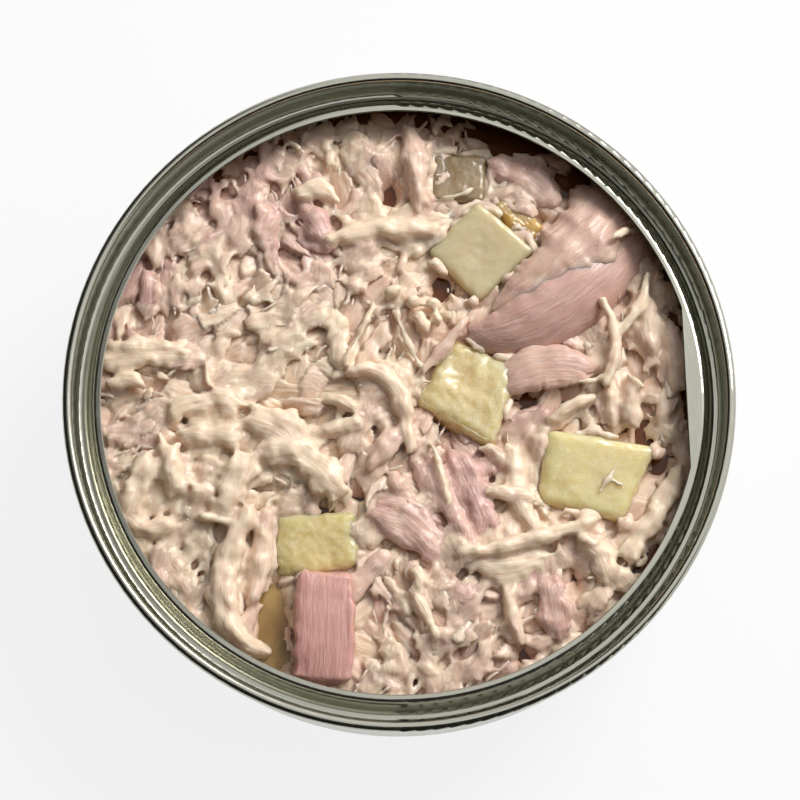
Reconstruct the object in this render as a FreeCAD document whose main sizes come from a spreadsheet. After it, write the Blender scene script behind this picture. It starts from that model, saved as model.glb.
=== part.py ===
"""Open tin of cat food: a flat round easy-open can with its lid torn off, filled with
shredded meat, a few larger pieces of meat, diced fruit and broth.

Millimetres. The origin is the middle of the can's foot and +Z is up. The sizes stand in the
sheet called Sizes, and every sub-part takes its own from there.
"""
import FreeCAD, Part
import math
import os
import re
import Sketcher

# ---------------------------------------------------------------------------
# Sizes
# ---------------------------------------------------------------------------
SIZES = {
    # the drawn can
    "can_height": 26.0,
    "wall_inner_radius": 41.65,
    "body_plate": 0.20,
    "foot_width": 5.25,
    "floor_rise": 1.5,
    "foot_corner_round": 3.0,
    "floor_step_round": 0.7,
    # the double seam
    "end_plate": 0.22,
    "seam_play": 0.04,
    "seam_height": 3.0,
    "hook_length": 1.9,
    "hook_round": 0.14,
    "seam_inner_round": 0.5,
    "seam_outer_round": 0.6,
    "seam_bottom_round": 0.34,
    # what the torn lid left: groove, strip and straight piece
    "chuck_wall_lean": 0.14,
    "chuck_wall_round": 2.0,
    "groove_depth": 4.35,
    "groove_width": 1.3,
    "groove_round": 0.62,
    "groove_side_lean": 0.95,
    "panel_depth": 2.05,
    "shoulder_round": 0.75,
    "strip_width": 1.05,
    "lip_bevel": 0.1,
    "straight_lip_width": 2.5,
    "straight_lip_turn": 1.6,
    # the food
    "food_play": 0.05,
    "headspace": 4.3,
    "meat_depth": 2.0,
    "broth_depth": 3.7,
    "moat_width": 0.9,
    "ripple_height": 0.3,
}

# Angular pieces: middle as shares of the food's radius, depth of the top below the food's
# highest level, width, length and height, the far side's share of the width and how far it
# is pushed sideways, turn about +Z, nod and roll, flare of the sides in degrees, and edge
# rounding.
BLOCKS = {
    "fruit_cube_upper": dict(
        across=0.25, along=0.48, depth=0.8, width=9.3, length=9.0, height=7.0, far_share=0.94,
        push=0.4, turn=46.0, nod=4.0, roll=-3.0, flare=2.0, edge_round=0.5),
    "fruit_cube_back": dict(
        across=0.185, along=0.72, depth=1.6, width=7.2, length=6.4, height=6.0, far_share=0.9,
        push=-0.3, turn=4.0, nod=-6.0, roll=3.0, flare=3.0, edge_round=0.5),
    "fruit_cube_middle": dict(
        across=0.225, along=0.05, depth=0.9, width=9.6, length=8.6, height=8.0, far_share=0.84,
        push=-0.6, turn=-37.0, nod=5.0, roll=-4.0, flare=13.0, edge_round=0.7),
    "fruit_cube_right": dict(
        across=0.61, along=-0.232, depth=0.9, width=12.6, length=10.0, height=8.0,
        far_share=1.08, push=0.7, turn=-9.0, nod=4.0, roll=-3.0, flare=4.0, edge_round=0.8),
    "fruit_cube_left": dict(
        across=-0.25, along=-0.44, depth=1.3, width=10.2, length=7.8, height=7.0,
        far_share=0.95, push=0.2, turn=3.0, nod=5.0, roll=4.0, flare=2.0, edge_round=0.6),
    "meat_block": dict(
        across=-0.224, along=-0.705, depth=0.9, width=7.6, length=12.6, height=7.5,
        far_share=0.8, push=-0.5, turn=-3.0, nod=4.0, roll=3.0, flare=4.0, edge_round=1.5),
    "meat_flake": dict(
        across=0.45, along=0.085, depth=1.0, width=12.4, length=6.8, height=2.4,
        far_share=0.8, push=1.0, turn=14.0, nod=-5.0, roll=-3.0, flare=6.0, edge_round=0.5),
}

# The long piece of meat: the ends of its line as shares of the food's radius, and the
# upright ellipses it is lofted through, with the place along the line, half width, half
# thickness, and how far the ellipse stands to the left of the line.
CHUNK_LINE = {
    "chunk_start_across": 0.205,
    "chunk_start_along": 0.195,
    "chunk_end_across": 0.765,
    "chunk_end_along": 0.66,
    "chunk_depth": 0.3,
}
CHUNK_SECTIONS = {
    "chunk_tip": dict(share=0.0, half_width=1.3, half_thickness=1.1, aside=-0.6),
    "chunk_nose": dict(share=0.14, half_width=3.4, half_thickness=2.0, aside=-0.9),
    "chunk_belly": dict(share=0.42, half_width=6.0, half_thickness=2.9, aside=-0.6),
    "chunk_back": dict(share=0.72, half_width=6.9, half_thickness=3.1, aside=0.2),
    "chunk_tail": dict(share=1.0, half_width=5.6, half_thickness=2.6, aside=0.9),
}

# Banks and hollows of the shredded meat: middle as shares of the food's radius, rise, and
# half width across and along.
BANK_SIZES = ("across", "along", "rise", "half_width", "half_length")
BANKS = {
    "shredded_bank": (-0.48, 0.42, 0.9, 13.0, 12.0),
    "middle_bank": (-0.10, 0.05, 1.1, 8.0, 10.0),
    "left_bank": (-0.60, -0.20, 1.1, 9.0, 5.0),
    "front_bank": (0.14, -0.60, 1.0, 10.0, 9.0),
    "long_shred_bank": (0.40, -0.44, 0.7, 10.0, 2.6),
    "curled_shred_bank": (-0.50, -0.58, 1.0, 3.0, 8.0),
    "back_bank": (-0.12, 0.78, 0.8, 7.0, 5.0),
    "front_right_bank": (0.62, -0.62, 0.7, 6.0, 5.0),
    "broth_channel": (-0.375, -0.88, -4.2, 2.3, 11.0),
    "back_pit": (0.35, 0.88, -4.2, 3.2, 2.6),
    "right_pit": (0.93, 0.02, -2.2, 2.4, 9.0),
    "cube_pit": (0.08, 0.40, -1.4, 2.2, 2.4),
    "red_pit": (-0.03, 0.63, -1.2, 1.8, 2.4),
    "front_pit": (0.36, -0.76, -1.3, 1.8, 2.2),
}

# Ripples of the shreds: turn per millimetre across and along, in radians, of two crossing
# waves, and of a finer one with its start and its share of the ripples' height.
CROSSING_WAVES = ((0.83, 0.31), (0.27, -0.74))
FINE_WAVE = (1.31, -0.52)
FINE_WAVE_START = 1.0
FINE_WAVE_SHARE = 0.6

# Waves of the shreds' outline: how many go round, share of the moat's width, and start.
OUTLINE_WAVES = ((5, 0.3, 0.0), (9, 0.25, -0.57))
OUTLINE_POINTS = 48
HEAP_PATCHES = 4
PATCH_CELLS = 6

# ---------------------------------------------------------------------------
# Lengths that follow from the sizes
# ---------------------------------------------------------------------------
BODY_RADIUS = "wall_inner_radius + body_plate"
CHUCK_RADIUS = "wall_inner_radius - seam_play - end_plate"
COVER_HOOK_RADIUS = f"{BODY_RADIUS} + seam_play"
BODY_HOOK_RADIUS = f"{COVER_HOOK_RADIUS} + end_plate + seam_play"
SEAM_RADIUS = f"{BODY_HOOK_RADIUS} + body_plate + seam_play + end_plate"
HOOK_TOP = "can_height - end_plate - seam_play - body_plate"
SEAM_BOTTOM = "can_height - seam_height"
GROOVE_BOTTOM = "can_height - groove_depth"
GROOVE_OUTER_RADIUS = f"{CHUCK_RADIUS} - chuck_wall_lean"
GROOVE_INNER_RADIUS = f"{GROOVE_OUTER_RADIUS} - groove_width"
PANEL_TOP = "can_height - panel_depth"
SHOULDER_RADIUS = f"{GROOVE_INNER_RADIUS} - groove_side_lean"
LIP_RADIUS = f"{SHOULDER_RADIUS} - strip_width"
FOOT_INNER_RADIUS = f"{BODY_RADIUS} - foot_width"
SKIN = "body_plate + food_play"
FOOD_RADIUS = "wall_inner_radius - food_play"
FOOD_TOP = "can_height - headspace"
CHUNK_RUN_ACROSS = "(chunk_end_across - chunk_start_across)"
CHUNK_RUN_ALONG = "(chunk_end_along - chunk_start_along)"
CHUNK_RUN = f"sqrt({CHUNK_RUN_ACROSS} ^ 2 + {CHUNK_RUN_ALONG} ^ 2)"


def make_sheet(doc):
    """Spreadsheet with one named cell for each size."""
    sheet = doc.addObject("Spreadsheet::Sheet", "Sizes")
    cells = dict(SIZES)
    cells.update(CHUNK_LINE)
    groups = dict(BLOCKS)
    groups.update(CHUNK_SECTIONS)
    groups.update({name: dict(zip(BANK_SIZES, bank)) for name, bank in BANKS.items()})
    for item, sizes in groups.items():
        for size, number in sizes.items():
            cells[f"{item}_{size}"] = number
    for row, (name, number) in enumerate(cells.items(), start=1):
        sheet.set(f"A{row}", name)
        sheet.set(f"B{row}", str(number))
        sheet.setAlias(f"B{row}", name)
    doc.recompute()
    return sheet


def bound(formula):
    """The formula with each size's name turned into a reference to its cell."""
    return re.sub(r"\b[a-z]\w*\b(?!\()", lambda name: "Sizes." + name.group(0), formula)


def value(sheet, formula):
    """What the formula comes to with the sheet's present numbers."""
    return float(sheet.evalExpression(bound(formula)))


# ---------------------------------------------------------------------------
# Sheet-metal sections: a path of straight legs with rounded corners
# ---------------------------------------------------------------------------
def corner_arc(before, corner, after, radius):
    """Arc that rounds a corner, and whether it runs the same way as the path."""
    back = (before - corner).normalize()
    ahead = (after - corner).normalize()
    half = back.getAngle(ahead) / 2
    centre = corner + (back + ahead).normalize() * (radius / math.sin(half))
    reach = radius / math.tan(half)
    touches = [corner + back * reach, corner + ahead * reach]
    forward = (-back).cross(ahead).z > 0
    if not forward:
        touches.reverse()
    angles = [math.atan2(touch.y - centre.y, touch.x - centre.x) for touch in touches]
    circle = Part.Circle(centre, FreeCAD.Vector(0, 0, 1), radius)
    return Part.ArcOfCircle(circle, angles[0], angles[1]), forward


class SectionSketch:
    """Upright sketch, X outwards and Y up, whose dimensions follow the sheet."""

    def __init__(self, doc, sheet, name):
        self.sheet = sheet
        self.sketch = doc.addObject("Sketcher::SketchObject", name)
        self.sketch.Placement.Rotation = FreeCAD.Rotation(FreeCAD.Vector(1, 0, 0), 90)

    def tie(self, *parts):
        """Constraint without a size."""
        return self.sketch.addConstraint(Sketcher.Constraint(*parts))

    def size(self, formula, *parts):
        """Constraint whose size is the formula."""
        number = self.tie(*parts, value(self.sheet, formula))
        self.sketch.setExpression(f"Constraints[{number}]", bound(formula))

    def fix(self, item, position, across, up):
        """Place of a point, measured from the can's middle."""
        self.size(across, "DistanceX", -1, 1, item, position)
        self.size(up, "DistanceY", -1, 1, item, position)

    def rounded_path(self, corners, closed=False):
        """Legs between the corners (across, up, rounding), the first and last unrounded."""
        points = [
            FreeCAD.Vector(value(self.sheet, across), value(self.sheet, up), 0)
            for across, up, rounding in corners
        ]
        arcs = {}
        for number in range(1, len(corners) - 1):
            if corners[number][2]:
                arcs[number] = corner_arc(
                    points[number - 1], points[number], points[number + 1],
                    value(self.sheet, corners[number][2]))
        legs = self.add_legs(points, arcs)
        for number in range(1, len(corners) - 1):
            across, up, rounding = corners[number]
            before, after = legs[number - 1], legs[number]
            if number not in arcs:
                self.tie("Coincident", before, 2, after, 1)
                self.fix(after, 1, across, up)
                continue
            arc, forward = arcs[number]
            item = self.sketch.addGeometry(arc, False)
            enters, leaves = (1, 2) if forward else (2, 1)
            self.tie("Tangent", before, 2, item, enters)
            self.tie("Tangent", item, leaves, after, 1)
            self.size(rounding, "Radius", item)
            mark = self.sketch.addGeometry(Part.Point(points[number]), True)
            self.tie("PointOnObject", mark, 1, before)
            self.tie("PointOnObject", mark, 1, after)
            self.fix(mark, 1, across, up)
        self.fix(legs[0], 1, *corners[0][:2])
        self.fix(legs[-1], 2, *corners[-1][:2])
        if closed:
            last = self.sketch.addGeometry(Part.LineSegment(points[-1], points[0]), False)
            self.tie("Coincident", legs[-1], 2, last, 1)
            self.tie("Coincident", last, 2, legs[0], 1)
        return self.sketch

    def add_legs(self, points, arcs):
        """Straight lines between the corners, each shortened where an arc meets it."""
        legs = []
        for number in range(len(points) - 1):
            start, end = points[number], points[number + 1]
            if number in arcs:
                arc, forward = arcs[number]
                start = arc.EndPoint if forward else arc.StartPoint
            if number + 1 in arcs:
                arc, forward = arcs[number + 1]
                end = arc.StartPoint if forward else arc.EndPoint
            legs.append(self.sketch.addGeometry(Part.LineSegment(start, end), False))
        return legs


def turned(doc, section, name, solid):
    """The section spun once round the can's middle line."""
    spun = doc.addObject("Part::Revolution", name)
    spun.Source = section
    spun.Base = FreeCAD.Vector(0, 0, 0)
    spun.Axis = FreeCAD.Vector(0, 0, 1)
    spun.Angle = 360
    spun.Solid = solid
    return spun


def turned_plate(doc, path, plate, name):
    """Plate of one thickness along the path, spun round the can's middle line."""
    strip = doc.addObject("Part::Offset2D", f"{name}_section")
    strip.Source = path
    strip.Mode = "Skin"
    strip.Fill = True
    strip.setExpression("Value", bound(plate))
    return turned(doc, strip, name, False)


# ---------------------------------------------------------------------------
# Boolean helpers
# ---------------------------------------------------------------------------
def fused(doc, name, pieces):
    """The pieces joined into one."""
    joint = doc.addObject("Part::MultiFuse", name)
    joint.Shapes = pieces
    return joint


def common(doc, name, pieces):
    """What the pieces share."""
    shared = doc.addObject("Part::MultiCommon", name)
    shared.Shapes = pieces
    return shared


def cut(doc, name, base, tool):
    """What the tool leaves of the base."""
    rest = doc.addObject("Part::Cut", name)
    rest.Base = base
    rest.Tool = tool
    return rest


# ---------------------------------------------------------------------------
# The can
# ---------------------------------------------------------------------------
def can_body(doc, sheet):
    """Drawn cup of one plate: raised floor, rounded foot, wall, and the seam's body hook.

    The path runs along the outside, so the plate lies inside it.
    """
    path = SectionSketch(doc, sheet, "can_body_path").rounded_path([
        ("0", "floor_rise", None),
        (FOOT_INNER_RADIUS, "floor_rise", "floor_step_round"),
        (FOOT_INNER_RADIUS, "0", "floor_step_round"),
        (BODY_RADIUS, "0", "foot_corner_round"),
        (BODY_RADIUS, HOOK_TOP, "hook_round"),
        (BODY_HOOK_RADIUS, HOOK_TOP, "hook_round"),
        (BODY_HOOK_RADIUS, f"{HOOK_TOP} - hook_length", None),
    ])
    return turned_plate(doc, path, "body_plate", "can_body")


def end_ring(doc, sheet):
    """What is left of the end: strip, groove, chuck wall and the seam's cover hook.

    The path runs along the face that shows, so the plate lies outside it.
    """
    path = SectionSketch(doc, sheet, "end_ring_path").rounded_path([
        (LIP_RADIUS, PANEL_TOP, None),
        (SHOULDER_RADIUS, PANEL_TOP, "shoulder_round"),
        (GROOVE_INNER_RADIUS, GROOVE_BOTTOM, "groove_round"),
        (GROOVE_OUTER_RADIUS, GROOVE_BOTTOM, "groove_round"),
        (CHUCK_RADIUS, SEAM_BOTTOM, "chuck_wall_round"),
        (CHUCK_RADIUS, "can_height", "seam_inner_round"),
        (SEAM_RADIUS, "can_height", "seam_outer_round"),
        (SEAM_RADIUS, SEAM_BOTTOM, "seam_bottom_round"),
        (COVER_HOOK_RADIUS, SEAM_BOTTOM, "seam_bottom_round"),
        (COVER_HOOK_RADIUS, f"{SEAM_BOTTOM} + hook_length", None),
    ])
    ring = turned_plate(doc, path, "-end_plate", "end_ring_round")
    whole = fused(doc, "end_ring_with_straight_lip", [ring, straight_lip(doc)])
    doc.recompute()
    return bevelled_lip(doc, sheet, whole)


def straight_lip(doc):
    """Wider piece of the lid's panel that stayed at one side, with a straight edge."""
    disc = doc.addObject("Part::Cylinder", "straight_lip_disc")
    disc.setExpression("Radius", bound(f"{SHOULDER_RADIUS} - shoulder_round"))
    disc.setExpression("Height", bound("end_plate"))
    disc.setExpression("Placement.Base.z", bound(f"{PANEL_TOP} - end_plate"))
    side = doc.addObject("Part::Box", "straight_lip_side")
    side.setExpression("Length", bound(SHOULDER_RADIUS))
    side.setExpression("Width", bound(f"2 * ({SHOULDER_RADIUS})"))
    side.setExpression("Height", bound("can_height"))
    side.setExpression("Placement.Base.x", bound(f"{SHOULDER_RADIUS} - straight_lip_width"))
    side.setExpression("Placement.Base.y", bound(f"-({SHOULDER_RADIUS})"))
    turn = doc.addObject("Part::Compound", "straight_lip_turned_side")
    turn.Links = [side]
    turn.Placement.Rotation.Axis = FreeCAD.Vector(0, 0, 1)
    turn.setExpression("Placement.Rotation.Angle", bound("straight_lip_turn"))
    return common(doc, "straight_lip", [disc, turn])


def bevelled_lip(doc, sheet, ring):
    """The scored half of the torn edge: a fine bevel along the lip's upper side."""
    panel = value(sheet, PANEL_TOP)
    lip = value(sheet, LIP_RADIUS)
    ring_shape = ring.Shape
    bevel = value(sheet, "lip_bevel")
    edges = []
    for number, edge in enumerate(ring_shape.Edges, start=1):
        box = edge.BoundBox
        level = abs(box.ZMin - panel) < 1e-4 and abs(box.ZMax - panel) < 1e-4
        middle = edge.valueAt((edge.FirstParameter + edge.LastParameter) / 2)
        if level and math.hypot(middle.x, middle.y) < lip + 1e-3:
            edges.append((number, bevel, bevel))
    chamfer = doc.addObject("Part::Chamfer", "end_ring")
    chamfer.Base = ring
    chamfer.Edges = edges
    return chamfer


# ---------------------------------------------------------------------------
# The food
# ---------------------------------------------------------------------------
def food_space(doc, sheet):
    """Inside of the can up to the food's highest level, clear of the plate all round."""
    profile = SectionSketch(doc, sheet, "food_space_profile").rounded_path([
        ("0", f"floor_rise + {SKIN}", None),
        (f"{FOOT_INNER_RADIUS} + {SKIN}", f"floor_rise + {SKIN}", f"floor_step_round + {SKIN}"),
        (f"{FOOT_INNER_RADIUS} + {SKIN}", SKIN, f"floor_step_round - ({SKIN})"),
        (FOOD_RADIUS, SKIN, f"foot_corner_round + {SKIN}"),
        (FOOD_RADIUS, FOOD_TOP, None),
        ("0", FOOD_TOP, None),
    ], closed=True)
    return turned(doc, profile, "food_space", True)


def block(doc, name, fill):
    """Diced or broken piece: four-sided top padded down, edges rounded, laid in place."""
    body = doc.addObject("PartDesign::Body", f"{name}_form")
    plane = [item for item in body.Origin.OriginFeatures if item.Role == "XY_Plane"][0]
    sketch = body.newObject("Sketcher::SketchObject", f"{name}_top")
    sketch.AttachmentSupport = (plane, [""])
    sketch.MapMode = "FlatFace"
    half_width, half_length = f"{name}_width / 2", f"{name}_length / 2"
    far_half = f"{half_width} * {name}_far_share"
    draw_outline(sketch, [
        (f"-{half_width}", f"-{half_length}"),
        (half_width, f"-{half_length}"),
        (f"{far_half} + {name}_push", half_length),
        (f"-{far_half} + {name}_push", half_length),
    ])
    pad = body.newObject("PartDesign::Pad", f"{name}_pad")
    pad.Profile = sketch
    pad.Reversed = True
    pad.setExpression("Length", bound(f"{name}_height"))
    pad.setExpression("TaperAngle", bound(f"{name}_flare"))
    doc.recompute()
    fillet = body.newObject("PartDesign::Fillet", f"{name}_edges")
    fillet.Base = (pad, [f"Edge{n}" for n in range(1, len(pad.Shape.Edges) + 1)])
    fillet.setExpression("Radius", bound(f"{name}_edge_round"))
    for axis, place in (
        ("x", f"{name}_across * ({FOOD_RADIUS})"),
        ("y", f"{name}_along * ({FOOD_RADIUS})"),
        ("z", f"{FOOD_TOP} - {name}_depth"),
    ):
        body.setExpression(f"Placement.Base.{axis}", bound(place))
    for angle, size in (("Yaw", "turn"), ("Pitch", "nod"), ("Roll", "roll")):
        body.setExpression(f"Placement.Rotation.{angle}", bound(f"{name}_{size}"))
    return common(doc, f"{name}_whole", [body, fill])


def draw_outline(sketch, corners):
    """Four-sided outline whose corners stand where the formulas say."""
    start = [FreeCAD.Vector(x, y, 0) for x, y in ((-3, -3), (3, -3), (3, 3), (-3, 3))]
    for number, corner in enumerate(start):
        after = start[(number + 1) % len(start)]
        sketch.addGeometry(Part.LineSegment(corner, after), False)
    for number, corner in enumerate(start):
        following = (number + 1) % len(start)
        sketch.addConstraint(Sketcher.Constraint("Coincident", number, 2, following, 1))
        for kind, place, formula in (
            ("DistanceX", corner.x, corners[number][0]),
            ("DistanceY", corner.y, corners[number][1]),
        ):
            tie = sketch.addConstraint(Sketcher.Constraint(kind, -1, 1, number, 1, place))
            sketch.setExpression(f"Constraints[{tie}]", bound(formula))


def meat_chunk(doc, fill):
    """Long piece of meat, lofted through upright ellipses along its line."""
    sections = []
    for label in CHUNK_SECTIONS:
        section = doc.addObject("Part::Ellipse", label)
        section.setExpression("MajorRadius", bound(f"{label}_half_width"))
        section.setExpression("MinorRadius", bound(f"{label}_half_thickness"))
        across = f"(chunk_start_across + {label}_share * {CHUNK_RUN_ACROSS}) * ({FOOD_RADIUS})"
        along = f"(chunk_start_along + {label}_share * {CHUNK_RUN_ALONG}) * ({FOOD_RADIUS})"
        for part, formula in (
            ("Base.x", f"{across} - {label}_aside * {CHUNK_RUN_ALONG} / {CHUNK_RUN}"),
            ("Base.y", f"{along} + {label}_aside * {CHUNK_RUN_ACROSS} / {CHUNK_RUN}"),
            ("Base.z", f"{FOOD_TOP} - chunk_depth - {label}_half_thickness"),
            ("Rotation.Yaw", f"atan2({CHUNK_RUN_ACROSS}; -{CHUNK_RUN_ALONG})"),
            ("Rotation.Pitch", "0"),
            ("Rotation.Roll", "90"),
        ):
            section.setExpression(f"Placement.{part}", bound(formula))
        sections.append(section)
    loft = doc.addObject("Part::Loft", "meat_chunk_loft")
    loft.Sections = sections
    loft.Solid = True
    return common(doc, "meat_chunk_whole", [loft, fill])


class HeapTop:
    """Uneven top of the shredded meat: a level with banks, hollows and ripples."""

    def __init__(self, sheet):
        self.radius = value(sheet, FOOD_RADIUS)
        self.level = value(sheet, f"{FOOD_TOP} - meat_depth")
        self.ripple = value(sheet, "ripple_height")
        self.banks = [
            [value(sheet, f"{name}_{size}") for size in BANK_SIZES] for name in BANKS
        ]

    def height(self, x, y):
        """Height of the shreds at a place in the can."""
        height = self.level
        for across, along, rise, half_width, half_length in self.banks:
            aside = (x - across * self.radius) / half_width
            ahead = (y - along * self.radius) / half_length
            height += rise * math.exp(-aside * aside - ahead * ahead)
        crossing = 1
        for turn_across, turn_along in CROSSING_WAVES:
            crossing *= math.sin(turn_across * x + turn_along * y)
        fine = math.sin(FINE_WAVE[0] * x + FINE_WAVE[1] * y + FINE_WAVE_START)
        return height + self.ripple * (crossing + FINE_WAVE_SHARE * fine)

    def filled_below(self, tall):
        """Everything under the top down to a depth, made patch by patch."""
        cells = HEAP_PATCHES * PATCH_CELLS
        steps = [self.radius * (2 * number / cells - 1) for number in range(cells + 1)]
        surface = Part.BSplineSurface()
        surface.interpolate([
            [FreeCAD.Vector(x, y, self.height(x, y)) for y in steps] for x in steps
        ])
        across, along = surface.getUKnots(), surface.getVKnots()
        seams = [number * PATCH_CELLS for number in range(HEAP_PATCHES)] + [-1]
        prisms = []
        for left, right in zip(seams, seams[1:]):
            for near, far in zip(seams, seams[1:]):
                patch = surface.copy()
                patch.segment(across[left], across[right], along[near], along[far])
                prisms.append(patch.toShape().extrude(FreeCAD.Vector(0, 0, -tall)))
        return prisms[0].multiFuse(prisms[1:])


def heap_outline(sheet):
    """Wavy outline of the shreds, a little inside the can's wall."""
    radius = value(sheet, FOOD_RADIUS)
    moat = value(sheet, "moat_width")
    rim = []
    for number in range(OUTLINE_POINTS):
        angle = 2 * math.pi * number / OUTLINE_POINTS
        wave = 1
        for count, share, start in OUTLINE_WAVES:
            wave += share * math.cos(count * angle + start)
        reach = radius - moat * wave
        rim.append(FreeCAD.Vector(reach * math.cos(angle), reach * math.sin(angle), 0))
    outline = Part.BSplineCurve()
    outline.interpolate(rim, PeriodicFlag=True)
    return Part.Face(Part.Wire(outline.toShape()))


def heap_block(doc, sheet):
    """Block of shreds between their wavy outline and their uneven top."""
    tall = value(sheet, "can_height")
    column = heap_outline(sheet).extrude(FreeCAD.Vector(0, 0, tall))
    feature = doc.addObject("Part::Feature", "meat_heap_block")
    feature.Shape = HeapTop(sheet).filled_below(tall).common(column)
    return feature


def food(doc, sheet):
    """Every piece of the food: what lies in the shreds is cut out of them."""
    fill = food_space(doc, sheet)
    doc.recompute()
    wholes = {name: block(doc, name, fill) for name in BLOCKS}
    wholes["meat_chunk"] = meat_chunk(doc, fill)
    pieces = {name: whole for name, whole in wholes.items() if name.startswith("fruit")}
    for name in ("meat_chunk", "meat_flake", "meat_block"):
        around = fused(doc, f"{name}_neighbours", list(pieces.values()))
        pieces[name] = cut(doc, name, wholes[name], around)
    lying = fused(doc, "pieces_in_the_shreds", list(pieces.values()))
    shreds = common(doc, "meat_heap_whole", [heap_block(doc, sheet), fill])
    heap = cut(doc, "meat_heap", shreds, lying)
    level = doc.addObject("Part::Cylinder", "broth_level")
    level.setExpression("Radius", bound(BODY_RADIUS))
    level.setExpression("Height", bound(f"{FOOD_TOP} - broth_depth"))
    drowned = common(doc, "broth_whole", [fill, level])
    solids = fused(doc, "solids_in_the_broth", [shreds, lying])
    broth = cut(doc, "broth", drowned, solids)
    pieces.update(meat_heap=heap, broth=broth)
    return pieces


# ---------------------------------------------------------------------------
# Build, check and write
# ---------------------------------------------------------------------------
def check(doc, nodes):
    """Stop if any object failed, or a sub-part is empty or not sound."""
    for item in doc.Objects:
        if "Invalid" in item.State or "Error" in item.State:
            raise RuntimeError(f"{item.Label} could not be built: {item.State}")
    for name, item in nodes.items():
        if item.Shape.isNull() or not item.Shape.isValid():
            raise RuntimeError(f"{name} is not a sound shape")
        print(f"{name}: {len(item.Shape.Solids)} solid, {item.Shape.Volume:.0f} mm3,"
              f" top {item.Shape.BoundBox.ZMax:.2f}")


def main():
    """Build the can and its food, and write each sub-part to its own file."""
    doc = FreeCAD.newDocument("cat_food_can")
    sheet = make_sheet(doc)
    nodes = {"can_body": can_body(doc, sheet), "end_ring": end_ring(doc, sheet)}
    nodes.update(food(doc, sheet))
    doc.recompute()
    for name, item in nodes.items():
        item.Label = name
    check(doc, nodes)
    os.makedirs("parts", exist_ok=True)
    for name, item in nodes.items():
        item.Shape.exportStep(f"parts/{name}.step")


main()
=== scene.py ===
# %% [markdown]
# # An open tin of cat food
# A flat round tin with its lid torn off. Inside lie shredded chicken, pink pieces of darker
# meat, diced fruit and a little broth. The tin itself comes from the solid model. The food
# is built here, because its fibres and torn edges are what make it look like food.
#
# All lengths below are millimetres; one helper turns them into Blender's metres.

# %% Load the solid model
import math

import bpy
import numpy as np
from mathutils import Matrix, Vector
from mathutils.kdtree import KDTree


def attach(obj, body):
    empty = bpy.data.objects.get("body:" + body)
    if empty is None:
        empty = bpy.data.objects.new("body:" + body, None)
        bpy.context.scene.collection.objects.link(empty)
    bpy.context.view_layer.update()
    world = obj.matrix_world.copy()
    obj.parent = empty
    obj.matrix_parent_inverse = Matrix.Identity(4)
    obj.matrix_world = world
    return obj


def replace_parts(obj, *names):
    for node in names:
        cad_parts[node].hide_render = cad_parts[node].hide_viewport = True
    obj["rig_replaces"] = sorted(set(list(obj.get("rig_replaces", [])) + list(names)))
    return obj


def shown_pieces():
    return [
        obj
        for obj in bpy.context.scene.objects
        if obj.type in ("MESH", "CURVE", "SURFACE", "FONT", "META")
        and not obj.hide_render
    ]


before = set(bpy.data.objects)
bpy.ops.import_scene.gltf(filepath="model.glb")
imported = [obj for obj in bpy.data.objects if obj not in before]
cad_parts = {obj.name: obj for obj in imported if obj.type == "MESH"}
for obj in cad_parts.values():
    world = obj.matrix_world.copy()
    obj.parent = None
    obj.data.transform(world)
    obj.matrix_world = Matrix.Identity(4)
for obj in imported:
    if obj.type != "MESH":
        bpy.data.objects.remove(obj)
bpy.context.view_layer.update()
MM = 0.001
TINY = 1e-9  # keeps a division by a length of zero from failing
random = np.random.default_rng(7)

# %% [markdown]
# ## How the food lies
# A tin of shreds is never level. One function gives the height of the food at any place:
# a level, low banks where the shreds are heaped, and pits where one can look down between
# them. Every piece is laid on this surface, so nothing floats and nothing is buried.

# %% Height of the food
FOOD_RADIUS = 41.0
FOOD_LEVEL = 19.9
BANKS = (
    # middle x, middle y, rise, half width, half length
    (-20.0, 17.5, 0.9, 13.0, 12.0),
    (-4.0, 2.0, 0.9, 8.0, 10.0),
    (-25.0, -8.0, 1.0, 9.0, 5.0),
    (6.0, -25.0, 0.9, 10.0, 9.0),
    (16.5, -18.0, 0.7, 10.0, 2.6),
    (-5.0, 32.0, 0.7, 7.0, 5.0),
    (26.0, -26.0, 0.6, 6.0, 5.0),
)
PITS = (
    # middle x, middle y, rise (downwards), half width, half length
    (14.2, 34.6, -7.0, 3.0, 1.7),
    (21.8, 29.4, -4.5, 1.8, 1.2),
    (-1.2, 28.0, -2.6, 1.1, 1.7),
    (-14.4, -1.4, -2.4, 1.8, 0.9),
    (5.6, 15.2, -3.0, 1.6, 2.0),
    (-28.4, -3.2, -2.0, 0.8, 0.8),
    (-21.8, -3.0, -1.8, 1.1, 0.5),
    (-26.0, -9.0, -2.2, 1.2, 0.5),
    (-10.0, -14.6, -2.2, 1.3, 0.9),
    (-30.4, -17.6, -2.6, 1.8, 0.6),
    (-32.6, -21.0, -2.2, 1.2, 0.7),
    (31.8, -4.2, -3.0, 1.0, 1.8),
    (33.3, -8.0, -3.0, 0.8, 1.2),
    (22.6, -24.0, -2.0, 0.8, 2.6),
    (15.8, -32.6, -2.4, 1.1, 1.2),
    (8.6, -1.0, -1.0, 8.5, 7.5),
    (25.6, -10.0, -1.0, 9.0, 7.5),
    (-10.7, -18.4, -1.2, 6.5, 5.0),
    (-15.9, -30.0, -4.4, 1.8, 5.4),
)
# Under the rim the food has sunk, most of all on the side that lies in the rim's shadow.
RIM_DROP = 2.1
RIM_DROP_START = 33.5
SHADY_SIDE = math.radians(42)


def smooth(low, high, x):
    """Goes from 0 at low to 1 at high, without corners."""
    t = np.clip((x - low) / (high - low), 0, 1)
    return t * t * (3 - 2 * t)


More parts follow.
